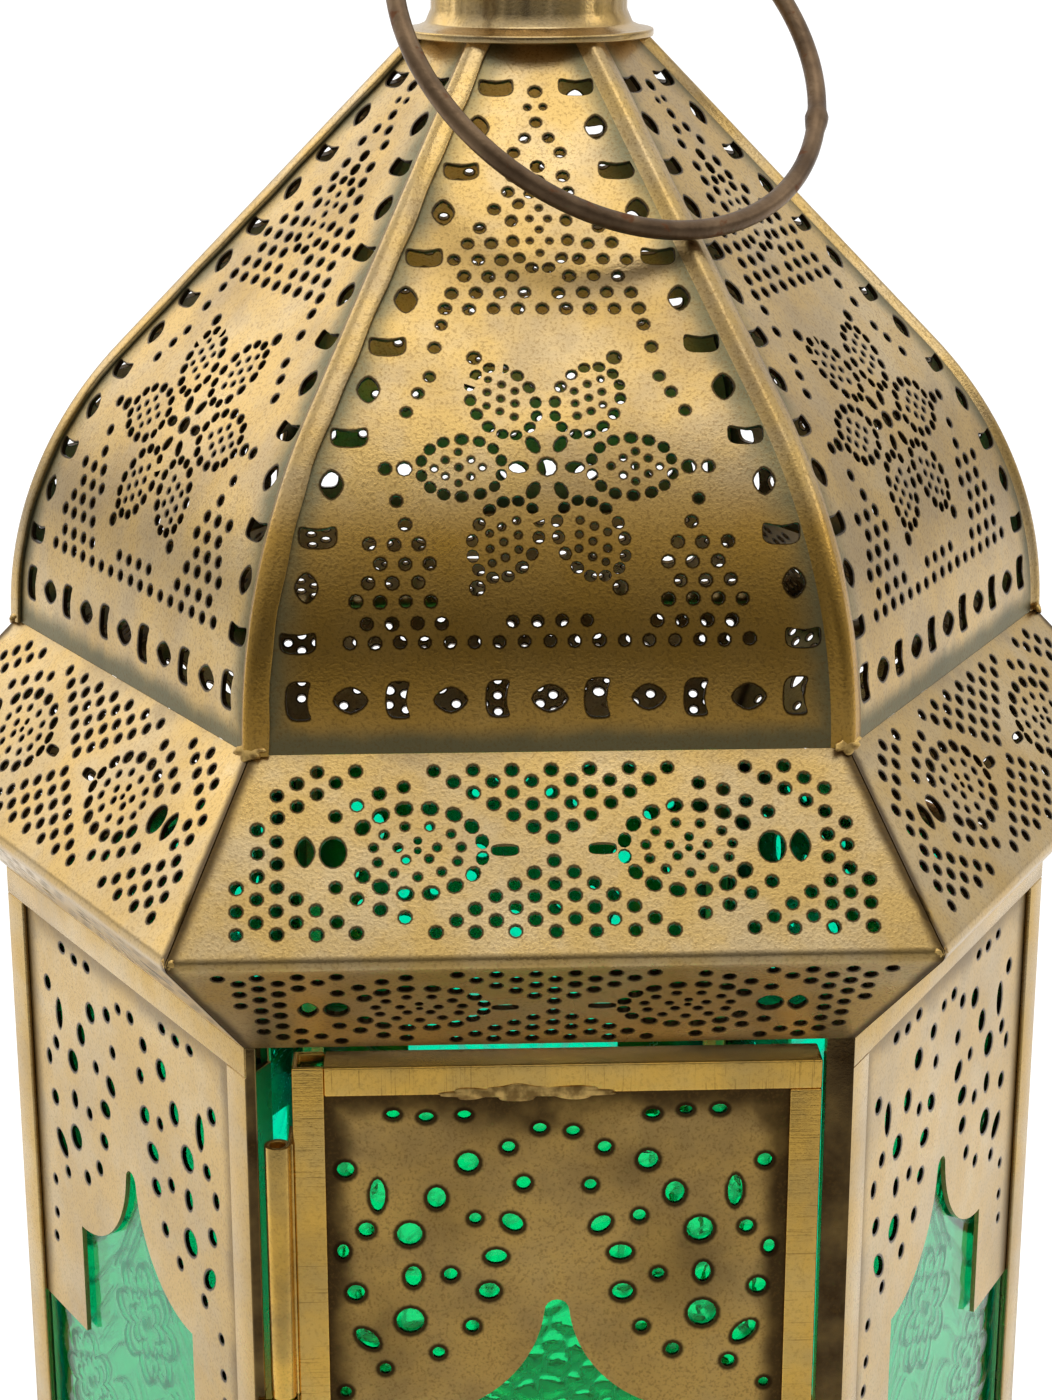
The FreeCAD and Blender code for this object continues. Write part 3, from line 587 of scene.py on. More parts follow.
# %% [markdown]
# The dome's side, as numbers. Each panel is bent in one direction only, on an arc that runs on straight
# to the crown, so a place on it follows from how far up the sheet it lies. Its width there follows too,
# because six such panels have to meet.


# %% Dome bend
def dome_out(up):
    """How far a panel stands from the middle, so far up the sheet."""
    turn = min(up / ARC, TURN)
    return DOME - ARC + ARC * math.cos(turn) - max(up - ARC_RUN, 0) * math.sin(TURN)


def on_dome(across, up, lift=0.0, face=0):
    """Place and normal on a dome face: face 0 looks to the front, face 1 is the next one to its right."""
    turn = np.minimum(up / ARC, TURN)
    run = np.maximum(up - ARC_RUN, 0)
    out = DOME - ARC + ARC * np.cos(turn) - run * np.sin(TURN)
    level = DOME_BASE + ARC * np.sin(turn) + run * np.cos(TURN)
    place = np.stack([across, -out, level], -1)
    normal = np.stack([np.zeros_like(turn), -np.cos(turn), np.sin(turn)], -1)
    place = place + normal * np.asarray(lift)[..., None]
    a = math.radians(60 * face)
    spin = np.array([[math.cos(a), math.sin(a), 0], [-math.sin(a), math.cos(a), 0], [0, 0, 1]])
    return place @ spin, normal @ spin


def dome_bend(points):
    return on_dome(points[:, 0], points[:, 1])


print("dome panel is", round(2 * dome_out(0) * T30, 1), "mm wide at its foot and",
      round(2 * dome_out(DOME_RUN) * T30, 1), "at the crown")

# %% [markdown]
# The dome's pattern. A border of beans and soft diamonds runs round each panel, and rows of dots fill the
# corners. In the middle is a six-petalled flower, and above it a sprig. Holes could be placed one by one,
# but rows, rings and mirror images say more with fewer numbers. All distances are across and up the flat
# sheet.

# %% Dome pattern
PITCH, SMALL = 2.63, 1.25
BORDER_UP, BORDER_PITCH = 5.8, 5.25
SIDE_START, SIDE_PITCH, SIDE_COUNT = 12.2, 5.55, 13
SIDE_INSETS = ((-1, 4.5), (1, 4.2))
CORNER_ROWS = [(13.9, 19.2, 4), (16.2, 20.4, 4), (18.2, 19.1, 3), (20.2, 17.8, 3), (22.3, 18.9, 3),
               (24.4, 17.75, 2)]
FLANK_ROWS = [(51.8, 1.9, 4), (53.9, 3.1, 3), (56.0, 4.2, 3), (58.1, 5.3, 2), (60.1, 6.5, 1),
              (64.7, 3.3, 1), (66.7, 2.8, 1), (62.5, 4.9, 1)]
SIDE_LINE = [(12.3, 41.4), (13.6, 39.4), (14.9, 37.2), (11.0, 47.8), (11.7, 45.0), (16.0, 27.0), (17.0, 25.2)]
FOOT_ROW, FOOT_DOT, INNER_ROW, INNER_DOT, TOP_ROW, SIDE_DOT = 11.9, 1.22, 14.0, 1.15, 49.8, 1.2


def mirrored(across, up, wide):
    return [dot(side * across, up, wide) for side in (-1, 1)]


def dome_border():
    holes = []
    for i in range(-5, 6):
        if i % 2:
            holes.append(bean(i * BORDER_PITCH, BORDER_UP, 4.0, 3.0, 1.0, -math.pi / 2))
        else:
            holes.append(lens(i * BORDER_PITCH, BORDER_UP, 3.5, 2.7))
    for i in range(SIDE_COUNT):
        up = SIDE_START + SIDE_PITCH * i
        for side, inset in SIDE_INSETS:
            across = side * (dome_out(up) * T30 - inset)
            holes.append(lens(across, up, 2.3, 3.1) if i % 2 else bean(across, up, 3.7, 2.6, 0.75))
    return holes


def dome_corners():
    holes = [dot(i * PITCH, FOOT_ROW, FOOT_DOT) for i in range(-8, 9)]
    for up, start, count in CORNER_ROWS:
        for i in range(count):
            holes += mirrored(start - i * PITCH, up, SMALL)
    return holes + [dot(across, INNER_ROW, INNER_DOT) for across in (-3.9, -1.3, 1.3, 3.9)]


def dome_flanks():
    holes = []
    for across, up in SIDE_LINE:
        holes += mirrored(across, up, SIDE_DOT)
    holes += [dot(i * PITCH, TOP_ROW, SMALL) for i in range(-4, 5)]
    for up, start, count in FLANK_ROWS:
        for i in range(count):
            holes += mirrored(start + i * PITCH, up, SMALL)
    return holes


print("dome border", len(dome_border()), "corners", len(dome_corners()), "flanks", len(dome_flanks()))

# %% [markdown]
# The flower and the sprig. A petal is an eye-shaped ring of dots with smaller dots inside. It is drawn
# once, along an angle, so that one function gives the flower's six petals and the upright petal of the
# sprig.

# %% Flower and sprig
FLOWER_UP, FLOWER_EYE, STAMEN_OUT = 30.6, 1.9, 3
PETAL = {"near": 4.7, "far": 13.4, "half": 3.25, "ring": 14}
PETAL_DOTS = [(6.8, 0), (8.1, -0.95), (8.1, 0.95), (9.4, 0), (9.4, -1.75), (9.4, 1.75), (10.8, -0.9),
              (10.8, 0.9), (12.0, 0)]
PETAL_TIP, PETAL_SPUR = (15.1, 1.5), (17.2, 1.3)
SPRIG_UP = 54.2
SPRIG = {"near": 0.6, "far": 10.4, "half": 3.1, "ring": 12}
SPRIG_DOTS = [(2.6, 0), (4.2, -1.1), (4.2, 1.1), (5.6, 0), (7.0, -1.0), (7.0, 1.0), (8.4, 0)]
CROWN_LINE = [(66.1, 1.6), (68.0, 1.6), (73.9, 1.2), (78.0, 1.4)]
CROWN_PAIRS = [(1.3, 71.8, 1.2), (2.6, 69.9, 1.2), (0.9, 75.9, 0.7)]
RING_WIDE, RING_TALL, SEED, PETAL_POWER = 1.30, 1.15, 0.68, 0.9


def petal(up, angle, dots, near, far, half, ring):
    middle, reach = (near + far) / 2, (far - near) / 2
    c, s = math.cos(angle), math.sin(angle)
    found = []

    def put(along, side, wide, tall=None, tilt=0.0):
        found.append(dot(along * c - side * s, up + along * s + side * c, wide, tall, angle + tilt))

    for i in range(ring):
        t = 2 * math.pi * (i + 0.5) / ring
        side = half * softly(math.sin(t), PETAL_POWER)
        put(middle + reach * math.cos(t), side, RING_WIDE, RING_TALL, t + math.pi / 2)
    for along, side in dots:
        put(along, side, SEED)
    return found


def flower():
    holes = [dot(0, FLOWER_UP, FLOWER_EYE)]
    for i in range(6):
        angle = math.radians(60 * i)
        c, s = math.cos(angle), math.sin(angle)
        holes.append(dot(STAMEN_OUT * c, FLOWER_UP + STAMEN_OUT * s, 2.0, SMALL, angle))
        holes += petal(FLOWER_UP, angle, PETAL_DOTS, **PETAL)
        for out, wide in (PETAL_TIP, PETAL_SPUR) if i % 3 == 0 else (PETAL_TIP,):
            holes.append(dot(out * c, FLOWER_UP + out * s, wide))
    return holes


def sprig():
    holes = petal(SPRIG_UP, math.pi / 2, SPRIG_DOTS, **SPRIG)
    holes += [dot(0, up, wide) for up, wide in CROWN_LINE]
    for across, up, wide in CROWN_PAIRS:
        holes += [dot(across, up, wide), dot(-across, up, wide)]
    return holes


dome_drawn = dome_border() + dome_corners() + flower() + dome_flanks() + sprig()
dome_holes = [loosen(loop) for loop in dome_drawn]
print("dome holes", len(dome_holes))

# %% [markdown]
# A dome panel. Its left edge stops just short of the corner, and its right edge stops where the rib's
# fold starts. The grey-green bloom follows the ribs and the foot, so hem fades away from them.

# %% Dome panel
RIB_IN, LEFT_GAP, END_GAP = 1.9, 0.15, 0.02
DOME_SPACING, SIDE_POINTS, FOOT_POINTS, CROWN_POINTS = 2.6, 56, 28, 7
RIB_BLOOM, FOOT_BLOOM, FOOT_MOST = 7.0, 4.0, 1.1
dome_ups = np.linspace(END_GAP, DOME_RUN - END_GAP, SIDE_POINTS)
dome_edges = np.array([dome_out(up) * T30 for up in dome_ups])


def level_edge(start, end, up, count):
    """Points along a level edge, without its two ends."""
    return [(x, up) for x in np.linspace(start, end, count)[1:-1]]


def dome_hem(points):
    edge = np.array([dome_out(up) * T30 for up in points[:, 1]])
    by_rib = np.clip(1 - (edge - np.abs(points[:, 0])) / RIB_BLOOM, 0, 1)
    by_foot = np.clip(FOOT_MOST - points[:, 1] / FOOT_BLOOM, 0, 1)
    return np.maximum(by_rib, by_foot)


dome_right = [(edge - RIB_IN, up) for edge, up in zip(dome_edges, dome_ups)]
dome_left = [(-edge + LEFT_GAP, up) for edge, up in zip(dome_edges, dome_ups)][::-1]
dome_foot = level_edge(dome_left[-1][0], dome_right[0][0], dome_ups[0], FOOT_POINTS)
dome_top = level_edge(dome_right[-1][0], dome_left[0][0], dome_ups[-1], CROWN_POINTS)
dome_outline = dome_right + dome_top + dome_left + dome_foot
dome_flat = flat_sheet(dome_outline, dome_holes, DOME_SPACING)
rib_joins = [i < len(dome_right) for i in range(len(dome_outline))]
panel = bent_sheet("dome_panel", dome_flat, dome_bend, dome_hem, rib_joins)
print("dome panel", len(panel.data.polygons), "faces")

# %% [markdown]
# The folded rib. The panel's right edge rises over the corner and comes down as a lap on the next panel,
# which the maker then beat flat, so its edge wanders. It could be a curve with a bevel, but the fold
# changes face halfway, so it is a row of cross-sections joined into a grid.

# %% Dome rib
LAP, RIB_WANDER, FOLD_SHARP = 2.0, 0.13, math.radians(50)
SECTION = [  # face, distance from the corner, lift
    (0, RIB_IN, 0.0), (0, 1.4, 0.14), (0, 0.95, 0.42), (0, 0.55, 0.60), (0, 0.2, 0.62),
    (1, 0.2, 0.62), (1, 0.6, 0.62), (1, 1.2, 0.60), (1, LAP - 0.15, 0.58), (1, LAP, 0.46), (1, LAP, 0.05),
    (1, 1.0, 0.03), (1, 0.25, 0.03), (0, 0.3, -0.25), (0, 1.0, -0.45), (0, RIB_IN, -GAUGE)]
OUTER_SECTION = 10
wander = RIB_WANDER * np.sin(dome_ups * 0.55) * np.sin(dome_ups * 0.21 + 1)
rib_rows = []
for face, away, lift in SECTION:
    loose = wander if face == 1 and away >= 1.0 else 0.0
    across = dome_edges - away - loose if face == 0 else -dome_edges + away + loose
    rib_rows.append(on_dome(across, dome_ups, np.full_like(dome_ups, lift), face)[0])
rib_points = np.stack(rib_rows, 1).reshape(-1, 3) * MM
turns = len(SECTION)
rib_faces = []
for row in range(len(dome_ups) - 1):
    for k in range(turns - 1):
        a = row * turns + k
        rib_faces.append((a, a + 1, a + turns + 1, a + turns))
last_row = (len(dome_ups) - 1) * turns
rib_faces.append(tuple(reversed(range(turns))))
rib_faces.append(tuple(range(last_row, last_row + turns)))
rib_mesh = bpy.data.meshes.new("dome_rib")
rib_mesh.from_pydata(rib_points.tolist(), [], rib_faces)
mark(rib_mesh, "rim", np.zeros(len(rib_points)))
mark(rib_mesh, "hem", [0.0 if k < OUTER_SECTION else 1.0 for _ in dome_ups for k in range(turns)])
rib = shown("dome_rib", rib_mesh)
only(rib)
bpy.ops.object.shade_smooth_by_angle(angle=FOLD_SHARP)
print("rib", len(rib_faces), "faces")

# %% [markdown]
# Six dome panels. Panel and rib are joined and turned into place. The front panel's lower part is darker,
# with an edge that runs straight across, and so is the lap of the panel to its left. The number that
# darkens the brass blends this in, so that no extra finish is needed. Whether smoke or something dark
# nearby made it so, it is painted on as soot, so that no extra finish is needed.

# %% Six dome panels
BAND_TOP, BAND_FADE, LAP_BAND = 29.0, 7.0, 3.0
only(rib)
panel.select_set(True)
bpy.context.view_layer.objects.active = panel
bpy.ops.object.join()
gores = set_round(panel, FACES, "dome_sheet", "dome_panel", SHEET)
for gore in (gores[0], gores[5]):
    spots = places(gore.data) / MM
    # darker below a level line on the front panel, and on the lap of the panel to its left
    darker_band = np.clip((BAND_TOP - spots[:, 2] + DOME_BASE) / BAND_FADE, 0, 1)
    if gore is gores[5]:
        from_rib = np.abs(spots[:, 0] * C30 - spots[:, 1] / 2)
        darker_band = darker_band * np.clip(LAP_BAND - from_rib, 0, 1)
    mark(gore.data, "soot", darker_band)
print("dome of", len(gores), "panels,", len(gores[0].data.polygons), "faces each")

# %% [markdown]
# The cornice's pattern. Each side is one sheet with the same pattern above and below its fold: two eyes
# of dots with drop-shaped holes at their ends, and a lattice of dots round them. The lattice is a grid
# with every other dot left out, kept only where the eyes aren't.

# %% Cornice pattern
LOW_RUN = math.hypot(FOLD - BODY, FOLD_LEVEL - WALL_TOP)
HIGH_RUN = math.hypot(FOLD - DOME, DOME_BASE - FOLD_LEVEL)
LATTICE_X, LATTICE_Y, LATTICE_DOT, LATTICE_INSET = 2.06, 1.28, 1.28, 3.7
EYE_OUT, EYE_WIDE, EYE_TALL, EYE_DOTS, EYE_CORNER = 14.2, 6.9, 4.75, 16, 0.95
EYE_RINGS = ((11, 4.6, 2.8), (5, 2.1, 1.15))
DROP_OUT, LENS_OUT, BAR_OUT = 23.0, 25.9, 5.1
ARCH_DOTS = [(8.5, 3.9), (6.3, 5.15), (3.9, 6.4), (1.4, 7.2)]
HIGH_TIER, LOW_TIER = (12.5, 1, 7), (-10.1, -1, 6)


def cornice_half(up):
    """Half the sheet's width, so far up from the fold."""
    if up >= 0:
        return (FOLD - (FOLD - DOME) * up / HIGH_RUN) * T30
    return (FOLD + (FOLD - BODY) * up / LOW_RUN) * T30


def lattice(middle, sign, rows):
    holes = []
    for j in range(-rows, rows + 1):
        for i in range(-19, 20):
            across, up = i * LATTICE_X, middle + sign * j * LATTICE_Y
            at_end = abs(i) >= min(17 - abs(j), 14) and abs(across) < cornice_half(up) - LATTICE_INSET
            if (i + j) % 2 and (abs(i) < abs(j) or at_end):
                holes.append(dot(across, up, LATTICE_DOT))
    return holes


def eye_dots(middle, side):
    eye = side * EYE_OUT
    holes = []
    for i in range(EYE_DOTS):
        t = 2 * math.pi * (i + 0.5) / EYE_DOTS
        if side * math.cos(t) <= EYE_CORNER:
            x, y = eye + EYE_WIDE * math.cos(t), middle + EYE_TALL * math.sin(t)
            holes.append(dot(x, y, 1.65, 1.4, t + math.pi / 2))
    for count, wide, tall in EYE_RINGS:
        for i in range(count):
            t = 2 * math.pi * (i + 0.25) / count
            holes.append(dot(eye + wide * math.cos(t), middle + tall * math.sin(t), 0.85))
    holes += [dot(eye, middle, 0.7), dot(side * DROP_OUT, middle, 2.7, 3.3, 0, 16),
              lens(side * LENS_OUT, middle, 2.0, 3.3), bean(side * BAR_OUT, middle, 2.8, 1.2, 0.0)]
    for along, rise in ARCH_DOTS:
        holes += [dot(eye + side * along, middle + flip * rise, SMALL) for flip in (-1, 1)]
    return holes


def tier(middle, sign, rows):
    """One tier's holes. sign is 1 for the upper tier and -1 for its mirror image below the fold."""
    return lattice(middle, sign, rows) + eye_dots(middle, -1) + eye_dots(middle, 1)


cornice_holes = [loosen(loop) for loop in tier(*HIGH_TIER) + tier(*LOW_TIER)]
print("cornice holes", len(cornice_holes))

# %% [markdown]
# The cornice's fold. The maker folds the sheet over a bar, so the widest line is a soft bend and not a
# knife edge. The bend is straight below, straight above and round a small arc between the two.

# %% Cornice fold
FOLD_BEND = 1.3
FOLD_POINT = np.array([FOLD, FOLD_LEVEL])
LOW_DIR = np.array([FOLD - BODY, FOLD_LEVEL - WALL_TOP]) / LOW_RUN
HIGH_DIR = np.array([DOME - FOLD, DOME_BASE - FOLD_LEVEL]) / HIGH_RUN
BEND_ANGLE = math.acos(float(LOW_DIR @ HIGH_DIR))
BEND_CUT = FOLD_BEND * math.tan(BEND_ANGLE / 2)


def cornice_bend(points):
    up = points[:, 1]
    part = np.clip((up + BEND_CUT) / (2 * BEND_CUT), 0, 1)
    angle = math.atan2(LOW_DIR[1], LOW_DIR[0]) + part * BEND_ANGLE
    centre = FOLD_POINT - LOW_DIR * BEND_CUT + np.array([-LOW_DIR[1], LOW_DIR[0]]) * FOLD_BEND
    arc = centre + FOLD_BEND * np.stack([np.sin(angle), -np.cos(angle)], -1)
    low = FOLD_POINT + LOW_DIR * up[:, None]
    high = FOLD_POINT + HIGH_DIR * up[:, None]
    line = np.where((part <= 0)[:, None], low, np.where((part >= 1)[:, None], high, arc))
    place = np.stack([points[:, 0], -line[:, 0], line[:, 1]], -1)
    normal = np.stack([np.zeros_like(up), -np.sin(angle), -np.cos(angle)], -1)
    return place, normal


def cornice_out(up):
    return float(-cornice_bend(np.array([[0.0, up]]))[0][0, 1])


print("cornice folds by", round(math.degrees(BEND_ANGLE), 1), "degrees")

# %% [markdown]
# Six cornice panels meet at mitred corners, which hold grime. Their outline follows the bend, so that the
# corners stay closed round the fold as well.

# %% Six cornice panels
MITRE_GAP, MITRE_GRIME = 0.10, 2.0
HEAD_GRIME, HEAD_MOST = 5.0, 0.35
CORNICE_SPACING, CORNICE_POINTS = 1.1, 30
cornice_ups = np.unique(np.concatenate([
    np.linspace(-LOW_RUN + END_GAP, -BEND_CUT, 12), np.linspace(-BEND_CUT, BEND_CUT, 7),
    np.linspace(BEND_CUT, HIGH_RUN - END_GAP, 13)]))


def cornice_hem(points):
    half = np.array([cornice_half(up) for up in points[:, 1]])
    by_mitre = np.clip(1 - (half - np.abs(points[:, 0])) / MITRE_GRIME, 0, 1)
    by_head = np.clip(1 - (HIGH_RUN - points[:, 1]) / HEAD_GRIME, 0, 1) * HEAD_MOST
    return np.maximum(by_mitre, by_head)


cornice_right = [(cornice_out(up) * T30 - MITRE_GAP, up) for up in cornice_ups]
cornice_left = [(-x, up) for x, up in cornice_right][::-1]
cornice_foot = level_edge(cornice_left[-1][0], cornice_right[0][0], cornice_ups[0], CORNICE_POINTS)
cornice_top = level_edge(cornice_right[-1][0], cornice_left[0][0], cornice_ups[-1], CORNICE_POINTS)
cornice_outline = cornice_right + cornice_top + cornice_left + cornice_foot
cornice_flat = flat_sheet(cornice_outline, cornice_holes, CORNICE_SPACING)
cornice = bent_sheet("cornice", cornice_flat, cornice_bend, cornice_hem)
cornices = set_round(cornice, FACES, "cornice_sheet", "cornice_panel", CORNICE_SHEET)
print("cornice of", len(cornices), "panels,", len(cornices[0].data.polygons), "faces each")

# %% [markdown]
# The wall plates. A flat plate ends below in an ogee arch between two pendants, and a loose scatter of
# holes climbs over the arch like foliage. The list is one half of it: across from the middle, down from
# the frame's top, wide, tall and tilt. The other half is its mirror image. The arch is two arcs and a
# small tip.

# %% Plate pattern
PIERCING = [
    (17.9, 6.2, 1.6, 1.1, 0), (14.2, 6.3, 1.6, 1.1, 0), (10.5, 6.2, 1.6, 1.1, 0),
    (1.8, 8.2, 1.5, 1.2, 0), (5.2, 10.4, 1.6, 1.5, 0), (10.0, 11.9, 2.3, 2.3, 0),
    (23.1, 12.4, 1.8, 1.8, 0), (19.9, 15.7, 1.7, 4.0, 0), (13.2, 16.0, 2.0, 2.5, 0),
    (3.9, 14.8, 1.5, 1.5, 0), (9.2, 18.9, 1.4, 1.4, 0), (4.8, 19.6, 2.7, 2.0, 40),
    (21.4, 20.1, 1.7, 1.7, 0), (16.2, 20.5, 2.9, 2.9, 0), (23.6, 22.8, 1.3, 1.8, 0),
    (6.9, 23.5, 2.7, 2.0, 0), (11.6, 25.9, 1.5, 1.5, 0), (16.2, 25.7, 1.7, 2.4, 0),
    (7.5, 28.0, 2.2, 1.9, 0), (22.4, 28.0, 1.9, 1.9, 0), (16.4, 31.1, 3.0, 3.0, 0),
    (21.0, 33.7, 3.6, 2.0, 45), (9.5, 32.5, 1.5, 1.5, 0), (13.2, 35.4, 1.5, 1.5, 0),
    (19.4, 37.2, 1.4, 1.4, 0), (23.7, 40.1, 1.2, 1.2, 0), (24.0, 44.8, 1.2, 1.2, 0),
    (24.3, 48.5, 1.2, 1.2, 0)]
PEAK, TIP, CUSP, CUSP_HALF, PLATE_END = 29.0, 1.4, 43.3, 15.9, 58.2
WAIST, WAIST_DROP = 4.6, 9.0
ARCH_POINTS, TIP_POINTS, HOLE_POINTS, PLATE_SPACING = 18, 9, 14, 3.0


def arc_through(a, b, c, count):
    """Points on the circle through three points, from a to c."""
    ax, ay, bx, by, cx, cy = *a, *b, *c
    d = 2 * (ax * (by - cy) + bx * (cy - ay) + cx * (ay - by))
    a2, b2, c2 = ax * ax + ay * ay, bx * bx + by * by, cx * cx + cy * cy
    ux = (a2 * (by - cy) + b2 * (cy - ay) + c2 * (ay - by)) / d
    uy = (a2 * (cx - bx) + b2 * (ax - cx) + c2 * (bx - ax)) / d
    radius = math.hypot(ax - ux, ay - uy)
    start, _, end = np.unwrap([math.atan2(p[1] - uy, p[0] - ux) for p in (a, b, c)])
    return [(ux + radius * math.cos(t), uy + radius * math.sin(t)) for t in np.linspace(start, end, count)]


def along_line(points, step=PLATE_SPACING):
    """The same outline with a point at least every few millimetres."""
    found = []
    for a, b in zip(points, points[1:] + points[:1]):
        parts = max(1, int(math.dist(a, b) / step))
        found += [(a[0] + (b[0] - a[0]) * k / parts, a[1] + (b[1] - a[1]) * k / parts) for k in range(parts)]
    return found


def plate_outline(left, right, top, frame_top, middle):
    shoulder = (TIP, -PEAK - TIP)
    half = arc_through((CUSP_HALF, -CUSP), (WAIST, -PEAK - WAIST_DROP), shoulder, ARCH_POINTS)
    tip = arc_through(shoulder, (0, -PEAK), (-TIP, -PEAK - TIP), TIP_POINTS)[1:-1]
    arch = half + tip + [(-x, y) for x, y in reversed(half)]
    arch = [(x + middle, y + frame_top) for x, y in arch]
    end = frame_top - PLATE_END
    sides = [(middle - CUSP_HALF, end), (left, end), (left, top), (right, top), (right, end),
             (middle + CUSP_HALF, end)]
    return along_line(arch + sides)[::-1]


print("plate has", 2 * len(PIERCING), "holes")

# %% [markdown]
# Wall plates and door plate share the pattern. On the door the holes wander more, their edges are rolled
# wider, and the frame covers more of the plate's border. Painted shade lies along the frame on both. So
# these are the function's inputs.

# %% Wall plates and door plate
PLATE_FACE = -BODY + GAUGE
SWELL, TOP_COVER, FRAME_SHADE = 0.10, 2.6, 4.5


def plate(name, left, right, top, frame_top, middle, wander, cover, roll):
    holes = []
    for across, drop, wide, tall, tilt in PIERCING:
        for side in (-1, 1):
            turn = math.radians(side * tilt)
            loop = dot(middle + side * across, frame_top - drop, wide, tall, turn, HOLE_POINTS)
            holes.append(loosen(loop, wander, SWELL))
    flat = flat_sheet(plate_outline(left, right, top, frame_top, middle), holes, PLATE_SPACING, roll)

    def stand(points):
        place = np.stack([points[:, 0], np.full(len(points), PLATE_FACE), points[:, 1]], -1)
        return place, np.tile([0.0, -1.0, 0.0], (len(points), 1))

    # painted shade on the plate along the frame that covers its border
    def frame_hem(points):
        side = np.minimum(points[:, 0] - left, right - points[:, 0]) - cover
        return np.clip(1 - np.minimum(side, top - points[:, 1] - TOP_COVER) / FRAME_SHADE, 0, 1)

    return bent_sheet(name, flat, stand, frame_hem)


POST_COVER, PANE_GAP, FRAME_LIP = 3.2, 0.3, 0.9
HALF_PANE = HALF_FACE - POST_COVER
PANE_TOP = WALL_TOP - GAUGE - PANE_GAP
HINGE_ROOM, LATCH_ROOM, HEAD_ROOM, SILL_HIGH, SILL_GAP = 5.0, 3.4, 2.5, 3.6, 1.0
DOOR_LEFT, DOOR_RIGHT = -HALF_FACE + HINGE_ROOM, HALF_FACE - LATCH_ROOM
DOOR_TOP, DOOR_BASE = WALL_TOP - HEAD_ROOM, WALL_BASE + SILL_HIGH + SILL_GAP
DOOR_IN_LEFT, DOOR_IN_RIGHT = DOOR_LEFT + FRAME_LIP, DOOR_RIGHT - FRAME_LIP
DOOR_IN_TOP = DOOR_TOP - FRAME_LIP
door_middle = (DOOR_LEFT + DOOR_RIGHT) / 2
wall = plate("wall", -HALF_PANE, HALF_PANE, PANE_TOP, WALL_TOP, 0.0, wander=0.15, cover=1.4, roll=0.42)
walls = set_round(wall, WALLS, "wall_pierced", "wall_plate", WALL_SHEET)
door_pierced = plate("door_pierced", DOOR_IN_LEFT, DOOR_IN_RIGHT, DOOR_IN_TOP, DOOR_TOP, door_middle,
                     wander=0.3, cover=2.6, roll=0.75)
print("plates:", len(walls), "walls and the door,", len(door_pierced.data.polygons), "faces")

# %% [markdown]
# Burns on the door. Dark clouds lie on the plate, as heat leaves them on brass. Each is a soft oval:
# across from the middle, down from the top, its two sizes and how dark it gets. They could be a second
# finish, but the number that darkens the brass already blends one in, and it follows the plate's own
# points.

# %% Burns on the door
BURNS = [(-2.5, 6.5, 10.0, 2.8, 1.0), (14.0, 26.0, 8.0, 9.0, 0.7), (-20.0, 34.0, 6.0, 9.0, 0.65),
         (-12.0, 18.0, 5.0, 6.0, 0.5), (8.0, 12.0, 6.0, 5.0, 0.5)]
door_spots = places(door_pierced.data) / MM
burnt = np.zeros(len(door_spots))
for across, drop, wide, tall, most in BURNS:
    sideways = (door_spots[:, 0] - door_middle - across) / wide
    downward = (DOOR_TOP - door_spots[:, 2] - drop) / tall
    burnt = np.maximum(burnt, most * np.exp(-(sideways ** 2 + downward ** 2)))
mark(door_pierced.data, "soot", burnt)
seat(door_pierced, "door", DOOR_SHEET, "antique_brass", "door_plate")
print("door burnt over", int((burnt > 0.3).sum()), "of", len(burnt), "points")

# %% [markdown]
# What is pressed into the glass. The walls have a rosette pattern with curling leaves, lines that follow
# the arch and a beaded ground, and the door has pebbles. A displacement texture would need an image, so
# each pattern is a function that gives a height from 0 to 1. x is from the middle and drop from the
# frame's top.

# %% Pressed patterns
ROSETTES = ((0, 50, 8.0), (0, 82, 8.0), (-18, 67, 7.0), (18, 67, 7.0))
ROSETTE_EDGE, ARCH_LINES, ARCH_END = 1.15, (-2.4, -4.6), 46
BEADED_END, BEAD_WAVE = 37, 2.1
PEBBLE, PEBBLE_JITTER, PEBBLE_LINE = 2.8, 0.38, 0.22


def ridge(distance, half):
    return np.exp(-(distance / half) ** 2)


def leaves(x, drop):
    wide = np.abs(x)
    swirl = 0.6 * drop + 2.6 * np.sin(0.2 * wide + 0.4) + 1.5 * np.sin(0.3 * wide - 0.12 * drop)
    height = ridge(np.sin(swirl), 0.4) * 0.8
    for cx, cy, size in ROSETTES:
        r = np.hypot(x - cx, drop - cy) / size
        t = np.arctan2(drop - cy, x - cx)
        petals = 0.60 + 0.40 * np.abs(np.cos(4 * t)) ** 0.7
        rosette = np.maximum(ridge(r - petals, 0.09), ridge(r - petals * 0.55, 0.09) * 0.9)
        height = np.where(r < ROSETTE_EDGE, np.maximum(rosette, ridge(r, 0.18)), height)
    arch = wide * 0.95 - (drop - PEAK) * 0.62
    for offset in ARCH_LINES:
        height = np.maximum(height, ridge(arch - offset, 0.6) * (drop < ARCH_END) * 0.9)
    beads = np.clip(np.cos(x * BEAD_WAVE) * np.cos(drop * BEAD_WAVE), 0, 1) ** 2
    return np.where((drop < BEADED_END) & (arch > -2.0), beads, height)


